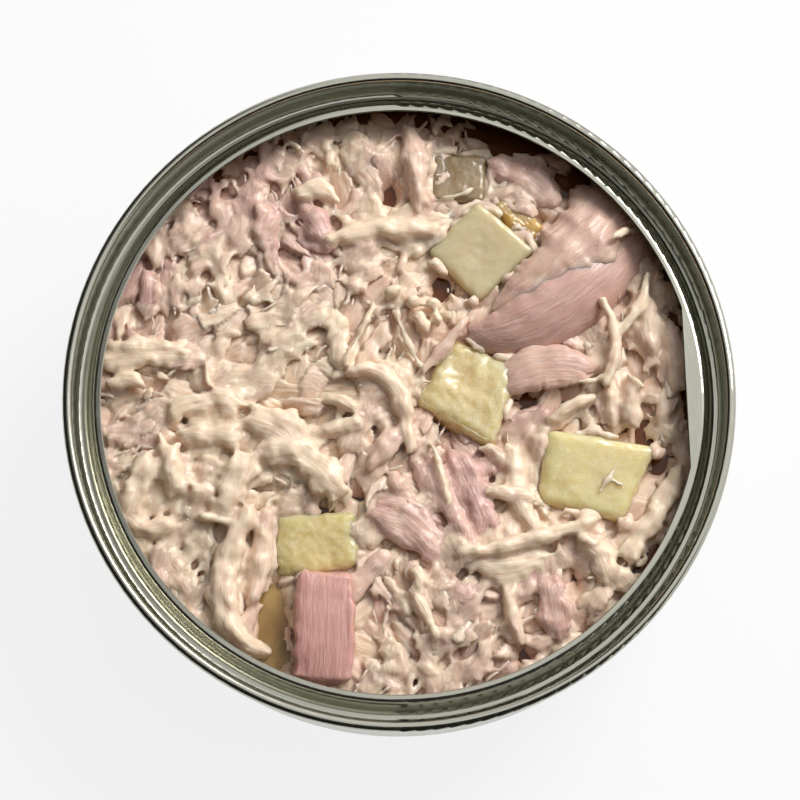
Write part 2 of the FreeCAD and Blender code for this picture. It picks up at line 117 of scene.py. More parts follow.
def food_height(x, y):
    """Height of the food's smooth surface; x and y may be arrays."""
    x, y = np.asarray(x, float), np.asarray(y, float)
    height = np.full(x.shape, FOOD_LEVEL)
    for middle_x, middle_y, rise, half_width, half_length in BANKS + PITS:
        aside = (x - middle_x) / half_width
        ahead = (y - middle_y) / half_length
        height = height + rise * np.exp(-aside * aside - ahead * ahead)
    out = np.hypot(x, y)
    shady = 0.5 + 0.5 * np.cos(np.arctan2(y, x) - SHADY_SIDE)
    return height - RIM_DROP * shady * smooth(RIM_DROP_START, FOOD_RADIUS, out)


steps = np.linspace(-FOOD_RADIUS, FOOD_RADIUS, 80)
heights = food_height(*np.meshgrid(steps, steps))
print(f"food from {heights.min():.1f} to {heights.max():.1f} mm high")

# %% [markdown]
# ## Noise without a texture
# The relief of the shreds is real geometry, so the noise has to be worked out in Python.
# Value noise is the simplest kind: a random number at each whole-number place, and a
# smooth blend between them.

# %% Value noise
def scatter_number(i, j, seed):
    """Repeatable random number from -1 to 1 for each whole-number place.

    The odd factors only stir the places well, so that no pattern shows.
    """
    mixed = np.sin(i * 127.1 + j * 311.7 + seed * 74.7) * 43758.5453
    return 2 * (mixed - np.floor(mixed)) - 1


def noise(x, y, seed=0):
    """Smooth noise from -1 to 1 with bumps about one unit across."""
    i, j = np.floor(x), np.floor(y)
    u, v = x - i, y - j
    u, v = u * u * (3 - 2 * u), v * v * (3 - 2 * v)
    low = scatter_number(i, j, seed) * (1 - u) + scatter_number(i + 1, j, seed) * u
    high = scatter_number(i, j + 1, seed) * (1 - u) + scatter_number(i + 1, j + 1, seed) * u
    return low * (1 - v) + high * v


print("noise along a line:", np.round(noise(np.arange(6) / 3, np.zeros(6)), 2))

# %% [markdown]
# ## Grain and blush
# Meat has a grain, and neighbouring shreds mostly keep the direction of the muscle they
# came from. A few named places say which way the fibres run there and how pink the meat
# is. Everywhere else takes a blend of the nearest ones.

# %% Grain direction and pinkness over the tin
GRAIN = (
    # x, y, direction in degrees, pinkness from 0 (cream) to 1 (mauve)
    (-6.0, 31.0, 88, 0.25), (-18.0, 27.0, 105, 0.75), (-33.0, 16.0, 80, 0.75),
    (-25.0, 18.0, 60, 0.2), (-12.0, 22.0, 110, 0.75), (-20.0, 9.0, 20, 0.15),
    (-34.0, 3.0, 5, 0.15), (-33.0, -3.0, 20, 0.45), (-27.0, -6.0, 10, 0.0),
    (-32.0, -12.0, 55, 0.0), (-18.0, -7.0, -15, 0.0), (-24.0, -24.0, 80, 0.15),
    (-22.0, -14.0, 75, 0.1), (-8.0, 6.0, 55, 0.1), (-3.0, 14.0, 70, 0.2),
    (1.0, -6.0, 70, 0.35), (4.0, -15.0, 140, 0.6), (9.0, -10.0, 110, 0.95),
    (-3.0, -22.0, 60, 0.3), (2.0, -28.0, 120, 0.2), (10.0, -29.0, 60, 0.4),
    (19.0, -23.0, 85, 0.55), (17.0, -31.0, 20, 0.45), (28.0, -23.0, 35, 0.15),
    (15.0, -13.0, 100, 0.0), (27.0, 1.0, 85, 0.15), (33.0, 9.0, 85, 0.3),
    (3.0, 30.0, 80, 0.5), (17.0, 30.0, 150, 0.55), (2.0, 23.0, 10, 0.1),
    (-36.0, 10.0, 95, 0.55), (20.0, 1.0, 50, 0.5), (-14.0, -36.0, 70, 0.1),
)
GRAIN_BLEND = 4  # square millimetres; the larger, the softer the change between places


def grain_at(x, y):
    """Direction of the fibres in radians, and the pinkness, at each place."""
    x, y = np.asarray(x, float), np.asarray(y, float)
    along_x, along_y, pink, total = 0.0, 0.0, 0.0, 0.0
    for place_x, place_y, direction, blush in GRAIN:
        weight = 1 / (GRAIN_BLEND + (x - place_x) ** 2 + (y - place_y) ** 2) ** 2
        along_x = along_x + weight * math.cos(2 * math.radians(direction))
        along_y = along_y + weight * math.sin(2 * math.radians(direction))
        pink = pink + weight * blush
        total = total + weight
    return np.arctan2(along_y, along_x) / 2, pink / total


print(len(GRAIN), "places with a grain of their own")

# %% [markdown]
# ## Meshes from many pieces
# Pieces of one kind could each be an object, but hundreds of objects are slow to handle.
# So they are collected and joined into one mesh. Each point carries what the materials
# ask for: how pink it is, how shaded, and where it lies in the grain of its own piece. The
# tin's wall is hard, so whatever would reach past it is pressed back against it.

# %% Collect pieces and turn them into one mesh
WALL_RADIUS = 41.35


def put(name, data):
    """New object in the scene with this mesh, lamp or camera."""
    made = bpy.data.objects.new(name, data)
    bpy.context.scene.collection.objects.link(made)
    return made


def write_looks(mesh, pink, shade, grain):
    """Store at each point what the materials read, and shade the mesh smoothly."""
    for label, values in (("pink", pink), ("shade", shade)):
        layer = mesh.attributes.new(label, "FLOAT", "POINT")
        layer.data.foreach_set("value", values.astype(np.float32))
    layer = mesh.attributes.new("grain", "FLOAT_VECTOR", "POINT")
    layer.data.foreach_set("vector", grain.astype(np.float32).ravel())
    mesh.shade_smooth()


class Batch:
    """Pieces of one kind, gathered into a single mesh."""

    def __init__(self):
        self.points, self.faces, self.pink, self.shade = [], [], [], []
        self.grain, self.axes = [], []
        self.count = 0

    def add(self, points, faces, pink=0.0, shade=0.5, grain=None, axes=None):
        """Take in one piece: points in millimetres, faces, looks, and its own grain."""
        out = np.hypot(points[:, 0], points[:, 1])[:, None]
        inward = np.minimum(1, WALL_RADIUS / np.maximum(out, TINY))
        points = points * np.hstack([inward, inward, np.ones_like(inward)])
        self.points.append(points)
        self.faces.append(faces + self.count)
        self.pink.append(np.broadcast_to(pink, len(points)))
        self.shade.append(np.broadcast_to(shade, len(points)))
        self.grain.append(points if grain is None else grain)
        if axes is not None:
            self.axes.append(axes)
        self.count += len(points)

    def build(self, name):
        """One smooth-shaded object from everything taken in."""
        mesh = bpy.data.meshes.new(name)
        points = np.concatenate(self.points) * MM
        faces = np.concatenate(self.faces)
        mesh.from_pydata(points.tolist(), [], faces.tolist())
        write_looks(mesh, *(np.concatenate(part) for part in (self.pink, self.shade, self.grain)))
        print(f"{name}: {len(faces)} faces from {len(self.points)} sweeps or solids")
        return put(name, mesh)


print("food stays within", WALL_RADIUS, "mm of the middle")

# %% [markdown]
# ## A line and a tube
# A shred is a tube along a bent line. The line has to pass through the places one chooses,
# and bend evenly between them. The tube is a row of rings with faces between neighbours.

# %% Smooth line and tube faces
def tube_faces(rings, around):
    """Four-sided faces of a tube. Its ends look closed where the end rings shrink to a point."""
    ring, step = np.meshgrid(np.arange(rings - 1), np.arange(around), indexing="ij")
    after = (step + 1) % around
    corners = (ring * around + step, ring * around + after,
               (ring + 1) * around + after, (ring + 1) * around + step)
    return np.stack(corners, axis=-1).reshape(-1, 4)


def smooth_line(stations, count):
    """Rounded line of evenly spaced places through the given stations."""
    stations = np.asarray(stations, float)
    padded = np.vstack([2 * stations[0] - stations[1], stations,
                        2 * stations[-1] - stations[-2]])
    spans = len(stations) - 1
    t = np.linspace(0, spans - 1e-6, count)
    first = t.astype(int)
    u = (t - first)[:, None]
    a, b, c, d = (padded[first + shift] for shift in range(4))
    return 0.5 * (2 * b + (c - a) * u + (2 * a - 5 * b + 4 * c - d) * u ** 2
                  + (3 * b - a - 3 * c + d) * u ** 3)


print("a tube of 3 rings of 8 points has", len(tube_faces(3, 8)), "faces")

# %% [markdown]
# ## One function for every piece of meat
# Every piece of meat is a bundle of fibres, from a single thread to a thick slab. One
# function can make them all: it sweeps a rounded section along a line, narrows its ends,
# frays its edges and cuts grooves into it that run lengthwise. The sizes below are those
# of the unevenness, in millimetres.

# %% Sweep a piece of meat
GRAIN_STRETCH = 0.1  # fibres run ten times as far along the grain as across it
EDGE_WAVE, EDGE_NICK = 1.7, 0.6
SWELL_ALONG, SWELL_ACROSS = 2.0, 1.3
GROOVE_LENGTH = 3.5
FRAY_WIDTH = 0.7
RIDGE_SHADE = 0.16


def meat(batch, stations, rings=24, around=16, boxy=1.7, groove=0.1, groove_step=0.55,
         ragged=0.6, wander=0.22, swell=0.4, blunt=0.6, cup=0.0, pink=0.2, shade=0.5, seed=0):
    """Sweep a grooved section along stations of (x, y, z, width, thickness, roll)."""
    line = smooth_line(stations, rings)
    middle, width, thick = line[:, :3], line[:, 3:4], line[:, 4:5]
    roll = np.radians(line[:, 5:6])
    ahead = np.gradient(middle, axis=0)
    ahead /= np.linalg.norm(ahead, axis=1, keepdims=True) + TINY
    side = np.cross(ahead, [0, 0, 1])
    side /= np.linalg.norm(side, axis=1, keepdims=True) + TINY
    up = np.cross(side, ahead)
    side, up = (side * np.cos(roll) + up * np.sin(roll), up * np.cos(roll) - side * np.sin(roll))
    gaps = np.linalg.norm(np.diff(middle, axis=0), axis=1)
    run = np.concatenate([[0], np.cumsum(gaps)])[:, None]
    length = run[-1, 0]
    end_length = np.minimum(blunt * width, 0.4 * length)
    inward = np.clip(np.minimum(run, length - run) / end_length, 0, 1)
    narrow = (1 - (1 - inward) ** 3) ** (1 / 3)
    thin = (1 - (1 - inward) ** 2) ** 0.5
    angle = np.linspace(0, 2 * math.pi, around, endpoint=False)[None, :]
    across = np.sign(np.cos(angle)) * np.abs(np.cos(angle)) ** (2 / boxy)
    rise = np.sign(np.sin(angle)) * np.abs(np.sin(angle)) ** (2 / boxy)
    # The left and right edges read different rows of noise, so they don't match.
    row = np.where(across > 0, 17.0, 53.0)
    uneven = 1 + wander * (noise(run / EDGE_WAVE, row, seed)
                           + 0.5 * noise(run / EDGE_NICK, row, seed + 1))
    aside = across * width / 2 * narrow * uneven
    swollen = 1 + swell * noise(run / SWELL_ALONG, aside / SWELL_ACROSS, seed + 2)
    above = rise * thick / 2 * thin * swollen
    ridge = 1 - 2 * np.abs(noise(aside / groove_step + 9, run / GROOVE_LENGTH, seed + 3))
    above = above + groove * ridge * thin * (rise > -0.2) + cup * (np.abs(aside) / 2) ** 2
    which_end = np.sign(run - length / 2)
    tug = ragged * noise(aside / FRAY_WIDTH + 31, which_end * 5, seed + 4) * (1 - inward)
    points = (middle[:, None, :] + side[:, None, :] * aside[..., None]
              + up[:, None, :] * above[..., None] + ahead[:, None, :] * tug[..., None])
    along = np.broadcast_to(run * GRAIN_STRETCH, aside.shape)
    grain = np.stack([aside + seed * 3.7 % 61, above, along], axis=-1)
    axes = np.stack([np.broadcast_to(axis[:, None, :], points.shape)
                     for axis in (side, up, ahead * GRAIN_STRETCH)], axis=2)
    batch.add(points.reshape(-1, 3), tube_faces(rings, around), pink,
              (shade + RIDGE_SHADE * ridge).reshape(-1), grain.reshape(-1, 3),
              axes.reshape(-1, 3, 3))


trial = Batch()
meat(trial, [(0, 0, 0, 2, 1, 0), (5, 0, 0, 2, 1, 0)])
print("a plain shred has", trial.count, "points")

# %% [markdown]
# ## Colours and materials
# Colours are picked as screen values and turned to linear light by one function. One
# small helper adds a node with its settings and links, so each material reads as a list
# of what it is made of.

# %% Colour and node helpers
def colour(code):
    """Linear red, green, blue and alpha of a screen colour such as "E8D9BE"."""
    parts = [int(code[place:place + 2], 16) / 255 for place in (0, 2, 4)]
    return [p / 12.92 if p <= 0.04045 else ((p + 0.055) / 1.055) ** 2.4 for p in parts] + [1]


def add(tree, kind, settings=None, **links):
    """Add a node; links name its inputs, with spaces as underscores."""
    node = tree.nodes.new(kind)
    for name, value in (settings or {}).items():
        if isinstance(name, int) or name in node.inputs:
            node.inputs[name].default_value = value
        else:
            setattr(node, name, value)
    for name, source in links.items():
        key = int(name[1:]) if name[0] == "i" and name[1:].isdigit() else name.replace("_", " ")
        tree.links.new(source, node.inputs[key])
    return node


def new_material(name):
    """Empty node material with its surface shader and the tree it sits in."""
    made = bpy.data.materials.new(name)
    made.use_nodes = True
    return made, made.node_tree, made.node_tree.nodes["Principled BSDF"]


def ramp(tree, source, stops, mode="LINEAR"):
    """Colour ramp through (place, colour code) stops."""
    made = add(tree, "ShaderNodeValToRGB", None, Fac=source)
    made.color_ramp.interpolation = mode
    elements = made.color_ramp.elements
    while len(elements) < len(stops):
        elements.new(0.5)
    for element, (place, code) in zip(elements, stops):
        element.position = place
        element.color = colour(code)
    return made.outputs["Color"]


print("screen grey 808080 is", round(colour("808080")[0], 3), "in linear light")

# %% [markdown]
# ## Cooked meat
# Poached poultry is cream where it is white meat and mauve-pink where it is dark meat.
# It is wet, a little see-through, and the light that gets in comes out warm. Its cracks,
# creases and lowest places are painted orange-brown to near black as shade; where it lies
# low, the brown also stands for broth soaked into it. Subsurface light gives the softness,
# a thin coat gives the wetness, and fine streaks along the grain give the fibres. Real
# fibres are finer than the picture can show, so they are drawn as coarse as they need to be
# seen.

# %% Material: poached poultry, shredded, wet with broth
# The fourth colour is broth soaked in and painted shade at once; the last is painted shade, near
# black, in the lowest places.
CREAM, PALE, MAUVE, SOAK_AND_SHADE, PAINTED_PIT_SHADE = "F5DDC2", "FCF2E2", "D8AEA4", "DC9E6C", "3A2414"
BLUSH_PATCHES = 300.0  # per metre, so 3.3 mm across
STRANDS = 1.7  # per millimetre of grain, so 0.6 mm wide
FIBRES = 6.0  # per millimetre of grain, so 0.17 mm wide
PIT_SHADE_SPAN = 2.5  # millimetres over which low meat darkens to its darkest painted shade
LIGHT_IN_MEAT = 0.9  # millimetres that light travels inside it


def poached_meat(name, soak_shade_low, soak_shade_high, dark_meat=MAUVE, paler=0.6):
    """Wet cooked meat, browned where it lies low as broth soaked in, with painted shade in its
    cracks, creases and lowest places.
    """
    made, tree, shader = new_material(name)
    place = add(tree, "ShaderNodeTexCoord").outputs["Object"]
    pink = add(tree, "ShaderNodeAttribute", {"attribute_name": "pink"}).outputs["Fac"]
    shade = add(tree, "ShaderNodeAttribute", {"attribute_name": "shade"}).outputs["Fac"]
    grain = add(tree, "ShaderNodeAttribute", {"attribute_name": "grain"}).outputs["Vector"]
    patches = add(tree, "ShaderNodeTexNoise", {"Scale": BLUSH_PATCHES, "Detail": 4.0,
                                               "Roughness": 0.6}, Vector=place)
    strands = add(tree, "ShaderNodeTexNoise", {"Scale": STRANDS, "Detail": 2.0},
                  Vector=grain)
    fibres = add(tree, "ShaderNodeTexNoise", {"Scale": FIBRES, "Detail": 3.0, "Roughness": 0.6,
                                              "Distortion": 0.3}, Vector=grain)
    blotch = add(tree, "ShaderNodeMath", {"operation": "MULTIPLY_ADD", 1: 1.2, 2: -0.6},
                 i0=patches.outputs["Fac"])
    blush = add(tree, "ShaderNodeMath", {"operation": "ADD", "use_clamp": True},
                i0=pink, i1=blotch.outputs[0])
    colour_now = ramp(tree, blush.outputs[0], [(0.0, CREAM), (1.0, dark_meat)])
    streak = add(tree, "ShaderNodeMapRange", {"From Min": 0.5, "From Max": 0.7,
                                              "To Max": paler}, Value=fibres.outputs["Fac"])
    # Painted shade: the cracks between strands of the grain, and the creases where the shade
    # attribute is low, take the soaked brown.
    painted_crack_shade = add(tree, "ShaderNodeMapRange", {"From Min": 0.44, "From Max": 0.28,
                                             "To Max": 0.22}, Value=strands.outputs["Fac"])
    painted_crease_shade = add(tree, "ShaderNodeMapRange", {"From Min": 0.40, "From Max": 0.05,
                                              "To Max": 0.3}, Value=shade)
    height = add(tree, "ShaderNodeSeparateXYZ", None, Vector=place).outputs["Z"]
    # Broth soaked in and painted shade at once: the lower the meat lies, the browner it is
    # painted, and lowest of all near black.
    soak_and_shade = add(tree, "ShaderNodeMapRange", {"From Min": soak_shade_high * MM,
                                            "From Max": soak_shade_low * MM}, Value=height)
    painted_shade = add(tree, "ShaderNodeMapRange", {"From Min": soak_shade_low * MM,
                                            "From Max": (soak_shade_low - PIT_SHADE_SPAN) * MM},
               Value=height)
    for amount, code in ((streak, PALE), (painted_crack_shade, SOAK_AND_SHADE), (painted_crease_shade, SOAK_AND_SHADE), (soak_and_shade, SOAK_AND_SHADE),
                         (painted_shade, PAINTED_PIT_SHADE)):
        layer = add(tree, "ShaderNodeMix", {"data_type": "RGBA"}, i0=amount.outputs[0],
                    i6=colour_now)
        layer.inputs[7].default_value = colour(code)
        colour_now = layer.outputs[2]
    tree.links.new(colour_now, shader.inputs["Base Color"])
    relief = add(tree, "ShaderNodeMath", {"operation": "MULTIPLY_ADD", 1: 0.35},
                 i0=fibres.outputs["Fac"], i2=strands.outputs["Fac"])
    bump = add(tree, "ShaderNodeBump", {"Strength": 0.6, "Distance": 0.3 * MM},
               Height=relief.outputs[0])
    tree.links.new(bump.outputs[0], shader.inputs["Normal"])
    shader.inputs["Roughness"].default_value = 0.36
    shader.inputs["IOR"].default_value = 1.4
    shader.inputs["Subsurface Weight"].default_value = 0.6
    shader.inputs["Subsurface Radius"].default_value = (1.0, 0.85, 0.7)
    shader.inputs["Subsurface Scale"].default_value = LIGHT_IN_MEAT * MM
    shader.inputs["Coat Weight"].default_value = 0.3
    shader.inputs["Coat Roughness"].default_value = 0.12
    return made


MEAT = poached_meat("poached_poultry_wet", 16.6, 18.8)
print(MEAT.name, "is made of", len(MEAT.node_tree.nodes), "nodes")

# %% [markdown]
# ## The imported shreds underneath
# Under the loose pieces the shreds are pressed into a bumpy mass. It is one closed mesh:
# a fine grid whose points are moved up and down. The relief has two sizes. Clumps a few
# millimetres across each lean their own way, with a crease between them, and within a
# clump thin ridges follow the grain. Moving real points rather than using bump alone
# lets the clumps throw shadows on each other.

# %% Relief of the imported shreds
CORE_RADIUS = 40.6
CORE_BOTTOM = 2.2
CORE_DEPTH = 0.55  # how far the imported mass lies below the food's top
GRID_STEP = 0.30
EDGE_WIDTH, EDGE_FALL = 0.8, 0.8  # the mass rounds off where it meets the wall
CLUMP_SPACING = 3.3
CLUMP_CREASE, CREASE_WIDTH = 0.34, 0.45
CLUMP_STRETCH = 0.45  # a clump is about twice as long as it is wide
RIDGE_HEIGHT, FINE_RIDGE_HEIGHT = 0.12, 0.06
ROWS_AT_ONCE = 4000  # points worked out together, which keeps the memory small


def clump_relief(x, y):
    """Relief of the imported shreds, with the blush, shade and grain of each place."""
    steps = np.arange(-44, 44, CLUMP_SPACING)
    spots = [(spot_x, spot_y) for row, spot_y in enumerate(steps)
             for spot_x in steps + (row % 2) * CLUMP_SPACING / 2]
    spots = np.array(spots) + random.uniform(-0.42, 0.42, (len(spots), 2)) * CLUMP_SPACING
    lean = random.normal(0, 0.20, (len(spots), 2))
    lift = random.normal(0, 0.32, len(spots))
    blush = random.normal(0, 0.14, len(spots))
    grain, _ = grain_at(spots[:, 0], spots[:, 1])
    grain = grain + random.normal(0, 0.45, len(spots))
    relief, pink, shade = np.zeros(x.size), np.zeros(x.size), np.zeros(x.size)
    own = np.zeros((x.size, 3))
    for start in range(0, x.size, ROWS_AT_ONCE):
        part = slice(start, start + ROWS_AT_ONCE)
        dx = x[part, None] - spots[None, :, 0]
        dy = y[part, None] - spots[None, :, 1]
        along = dx * np.cos(grain) + dy * np.sin(grain)
        aside = dy * np.cos(grain) - dx * np.sin(grain)
        far = np.hypot(along * CLUMP_STRETCH, aside)
        order = np.argpartition(far, 1, axis=1)[:, :2]
        rows = np.arange(len(dx))
        near = np.where(far[rows, order[:, 0]] < far[rows, order[:, 1]], order[:, 0], order[:, 1])
        other = order[:, 0] + order[:, 1] - near
        gap = far[rows, other] - far[rows, near]
        edge = np.exp(-gap / CREASE_WIDTH)
        u, v = along[rows, near], aside[rows, near]
        ridge = 1 - np.abs(noise(v * 2.6 + near * 7.1, u * 0.35 + near, 2)) * 2
        fine = 1 - np.abs(noise(v * 6.0 + near * 3.7, u * 0.8 + near, 4)) * 2
        slope = lean[near, 0] * dx[rows, near] + lean[near, 1] * dy[rows, near]
        relief[part] = (lift[near] + slope + RIDGE_HEIGHT * ridge + FINE_RIDGE_HEIGHT * fine
                        - CLUMP_CREASE * edge)
        pink[part] = blush[near]
        shade[part] = 0.6 + 0.12 * ridge - 0.3 * edge
        own[part] = np.column_stack([v + near * 7.1, near * 3.3, u * GRAIN_STRETCH])
    return relief, pink, shade, own


print("clumps about", CLUMP_SPACING, "mm apart on a grid of", GRID_STEP, "mm")


# %% [markdown]
# The grid is round, like the tin: rings from the middle outwards. Its last two rings run
# down the wall and back to the middle underneath. Only a pinhole 0.04 mm wide stays open
# in the middle, where the first ring begins.

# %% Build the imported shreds
def packed_shreds():
    """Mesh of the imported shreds: its relief on top, a wall and a flat bottom."""
    rings = int(CORE_RADIUS / GRID_STEP)
    around = int(2 * math.pi * CORE_RADIUS / GRID_STEP / 1.4)
    radius = np.linspace(0.02, CORE_RADIUS, rings)
    angle = np.linspace(0, 2 * math.pi, around, endpoint=False)
    r, a = np.meshgrid(radius, angle, indexing="ij")
    x, y = (r * np.cos(a)).ravel(), (r * np.sin(a)).ravel()
    relief, blush, shade, own = clump_relief(x, y)
    _, pink = grain_at(x, y)
    z = food_height(x, y) - CORE_DEPTH + relief
    z = z - EDGE_FALL * smooth(CORE_RADIUS - EDGE_WIDTH, CORE_RADIUS, np.hypot(x, y))
    top = np.column_stack([x, y, z])
    wall = top[-around:] * (1, 1, 0) + (0, 0, CORE_BOTTOM)
    hub = top[:around] * (1, 1, 0) + (0, 0, CORE_BOTTOM)
    points = np.vstack([top, wall, hub])
    batch = Batch()
    batch.add(points, tube_faces(rings + 2, around),
              np.concatenate([pink + blush, np.full(2 * around, 0.3)]),
              np.concatenate([shade, np.full(2 * around, 0.5)]),
              np.vstack([own + np.outer(z, (0, 1, 0)), wall, hub]))
    return batch.build("packed_shreds")


packed = packed_shreds()
packed.data.materials.append(MEAT)

# %% [markdown]
# ## Where the larger pieces lie
# Loose shreds must not lie over the fruit or the big pieces of meat, so the outline of
# each is written down once, and used both to build the piece and to keep others off it.

# %% Outlines of the fruit and the large pieces of meat
DICE = {
    # four corners of the top, height of the top
    "fruit_cube_upper": (((3.7, 19.9), (10.3, 13.2), (17.7, 20.0), (10.3, 26.6)), 20.6),
    "fruit_cube_back": (((4.2, 26.9), (11.2, 26.7), (11.6, 33.2), (4.6, 33.4)), 19.9),
    "fruit_cube_middle": (((1.9, 0.2), (11.9, -6.2), (15.0, 4.4), (7.4, 8.0)), 20.8),
    "fruit_cube_right": (((17.9, -13.0), (28.4, -15.6), (33.0, -6.1), (19.0, -3.9)), 20.7),
    "fruit_cube_left": (((-15.4, -22.6), (-5.4, -21.6), (-5.3, -14.2), (-15.9, -14.8)), 19.9),
}
CHUNK_OUTLINE = ((8.2, 9.0), (13.0, 5.2), (20.8, 7.6), (26.5, 11.8), (29.5, 17.5),
                 (34.0, 21.5), (31.5, 28.7), (25.4, 30.4), (20.1, 25.6), (17.1, 18.5),
                 (13.1, 14.5))
BLOCK_OUTLINE = ((-13.2, -22.5), (-8.9, -21.4), (-5.4, -25.0), (-5.4, -34.5), (-8.0, -36.2),
                 (-13.4, -34.5))
FLAKE_OUTLINE = ((12.4, 4.5), (20.8, 7.2), (24.7, 6.5), (25.2, 3.2), (20.7, 0.6), (16.2, -0.1))


def inside(outline, x, y):
    """Whether a place is inside an outline."""
    hit = False
    for number, (x1, y1) in enumerate(outline):
        x2, y2 = outline[number - 1]
        if (y1 > y) != (y2 > y) and x < (x2 - x1) * (y - y1) / (y2 - y1) + x1:
            hit = not hit
    return hit


KEEP_CLEAR = [corners for corners, _ in DICE.values()]
KEEP_CLEAR += [CHUNK_OUTLINE, BLOCK_OUTLINE, FLAKE_OUTLINE]
DEEP_PIT = -1.5  # nothing is laid over a pit deeper than this


def is_free(x, y):
    """Whether loose shreds may lie at a place."""
    if math.hypot(x, y) > CORE_RADIUS - 0.6:
        return False
    if any(inside(outline, x, y) for outline in KEEP_CLEAR):
        return False
    for middle_x, middle_y, rise, half_width, half_length in PITS:
        off = ((x - middle_x) / half_width) ** 2 + ((y - middle_y) / half_length) ** 2
        if rise < DEEP_PIT and off < 1.2:
            return False
    return True


print(len(KEEP_CLEAR), "outlines are kept clear of loose shreds")


# %% [markdown]
# ## Loose shreds, flakes and fibres
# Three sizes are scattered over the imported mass: flakes, shreds, and single fibres. Each
# one lies along the grain with some scatter, and bends down to follow the surface. They
# could be particles, but real meshes can be pressed together later. The random numbers
# are seeded, so the tin looks the same each time.

# %% Scatter one kind of loose piece
def lay_loose(batch, count, length, width, thickness, lift, scatter, curl, **look):
    """Lay pieces at random along the grain; each range is (least, most)."""
    placed = 0
    while placed < count:
        reach = CORE_RADIUS * math.sqrt(random.uniform())
        spin = random.uniform(0, 2 * math.pi)
        x, y = reach * math.cos(spin), reach * math.sin(spin)
        long = random.uniform(*length)
        grain, pink = grain_at(x, y)
        heading = float(grain) + random.normal(0, scatter)
        bend = random.normal(0, curl)
        half = long / 2
        ends = [(x + side * half * math.cos(heading + side * bend),
                 y + side * half * math.sin(heading + side * bend)) for side in (-1, 1)]
        if not (is_free(x, y) and all(is_free(*end) for end in ends)):
            continue
        broad = random.uniform(*width)
        thick = min(random.uniform(*thickness), broad)
        roll = random.normal(0, 14)
        stations = []
        for share, size in ((-1, 0.7), (-0.5, 0.95), (0, 1.0), (0.5, 0.95), (1, 0.7)):
            turn = heading + share * bend
            sx, sy = x + share * half * math.cos(turn), y + share * half * math.sin(turn)
            dip = 0.3 * thick * abs(share) ** 3
            sz = float(food_height(sx, sy)) + lift + random.normal(0, 0.1) - dip
            stations.append((sx, sy, sz, broad * size, thick * (0.6 + 0.4 * size), roll))
        meat(batch, stations, pink=float(pink) + random.normal(0, 0.16),
             shade=random.uniform(0.4, 0.75), seed=placed + count,
             cup=random.normal(0, 0.12), **look)
        placed += 1


shreds = Batch()
lay_loose(shreds, 230, (3.0, 7.5), (2.0, 4.4), (0.8, 1.5), -0.25, 0.45, 0.25, rings=22,
          around=20, boxy=1.9, groove=0.08, groove_step=0.5, ragged=1.8, wander=0.55)
lay_loose(shreds, 330, (1.6, 5.0), (0.6, 1.5), (0.4, 0.8), 0.0, 0.5, 0.3, rings=14, around=12,
          boxy=1.9, groove=0.04, groove_step=0.4, ragged=0.9, wander=0.45)
loose_fibres = Batch()
lay_loose(loose_fibres, 160, (0.9, 2.6), (0.18, 0.45), (0.14, 0.30), 0.16, 0.4, 0.12, rings=9,
          around=6, boxy=2.0, groove=0.0, ragged=0.1, wander=0.2)
print(len(shreds.points), "flakes and shreds,", len(loose_fibres.points), "fibres")

# %% [markdown]
# ## Meat against the fruit
# Fruit in a full tin isn't set on top of the meat, it is stuck in it. A few short shreds
# along each edge of a dice close the gap and lap a little over its top, which does more
# for that look than a deeper hole would.

# %% Bits of meat that cling to the edges of the dice
def cling(batch, corners, top, count):
    """Short shreds that lie along the edges of a dice and reach a little over its top."""
    middle = np.mean(corners, axis=0)
    for number in range(count):
        edge = number % 4
        start, end = np.array(corners[edge - 1]), np.array(corners[edge])
        spot = start + (end - start) * random.uniform(0.0, 1.0)
        out = (spot - middle) / np.linalg.norm(spot - middle)
        ahead = (end - start) / np.linalg.norm(end - start)
        reach, broad = random.uniform(0.8, 2.2), random.uniform(1.0, 2.0)
        twist = random.normal(0, 0.35)
        stations = [(*(spot + out * (0.55 + twist * share) + ahead * reach * share),
                     top - 0.45 + random.normal(0, 0.15) - 0.25 * abs(share), broad, 0.9, 0)
                    for share in (-1, -0.3, 0.4, 1)]
        meat(batch, stations, rings=14, around=14, ragged=1.0, wander=0.6,
             pink=random.uniform(0, 0.45), shade=0.7, seed=900 + number)


for corners, top in DICE.values():
    cling(shreds, corners, top, 9)
print(len(shreds.points), "pieces with those that cling")

# %% [markdown]
# ## The shreds one can tell apart
# Some shreds are large enough to be recognised: a thick curled one, a forked one, flat
# slabs with clean edges. Each is laid through a few listed places, and takes its height
# from the food under it plus a lift of its own.

# %% Lay one shred through chosen places
def lay(batch, path, width, thick, lift=0.5, ends=(0.6, 0.6), roll=0.0, **look):
    """A shred through (x, y) places; lift may be one number or one per place."""
    lifts = lift if isinstance(lift, tuple) else (lift,) * len(path)
    stations = []
    for number, ((x, y), above) in enumerate(zip(path, lifts)):
        share = number / (len(path) - 1)
        size = float(np.interp(share, [0, 0.35, 0.65, 1], [ends[0], 1, 1, ends[1]]))
        stations.append((x, y, float(food_height(x, y)) + above, width * size,
                         thick * (0.5 + 0.5 * size), roll))
    meat(batch, stations, seed=len(batch.points) + 40, **look)


print(len(shreds.points), "pieces before those laid by hand")

# %% [markdown]
# Slabs are torn off a fillet: flat, broad and cream, almost as wide at the ends as in the
# middle. Deep fraying gives them their torn outline.

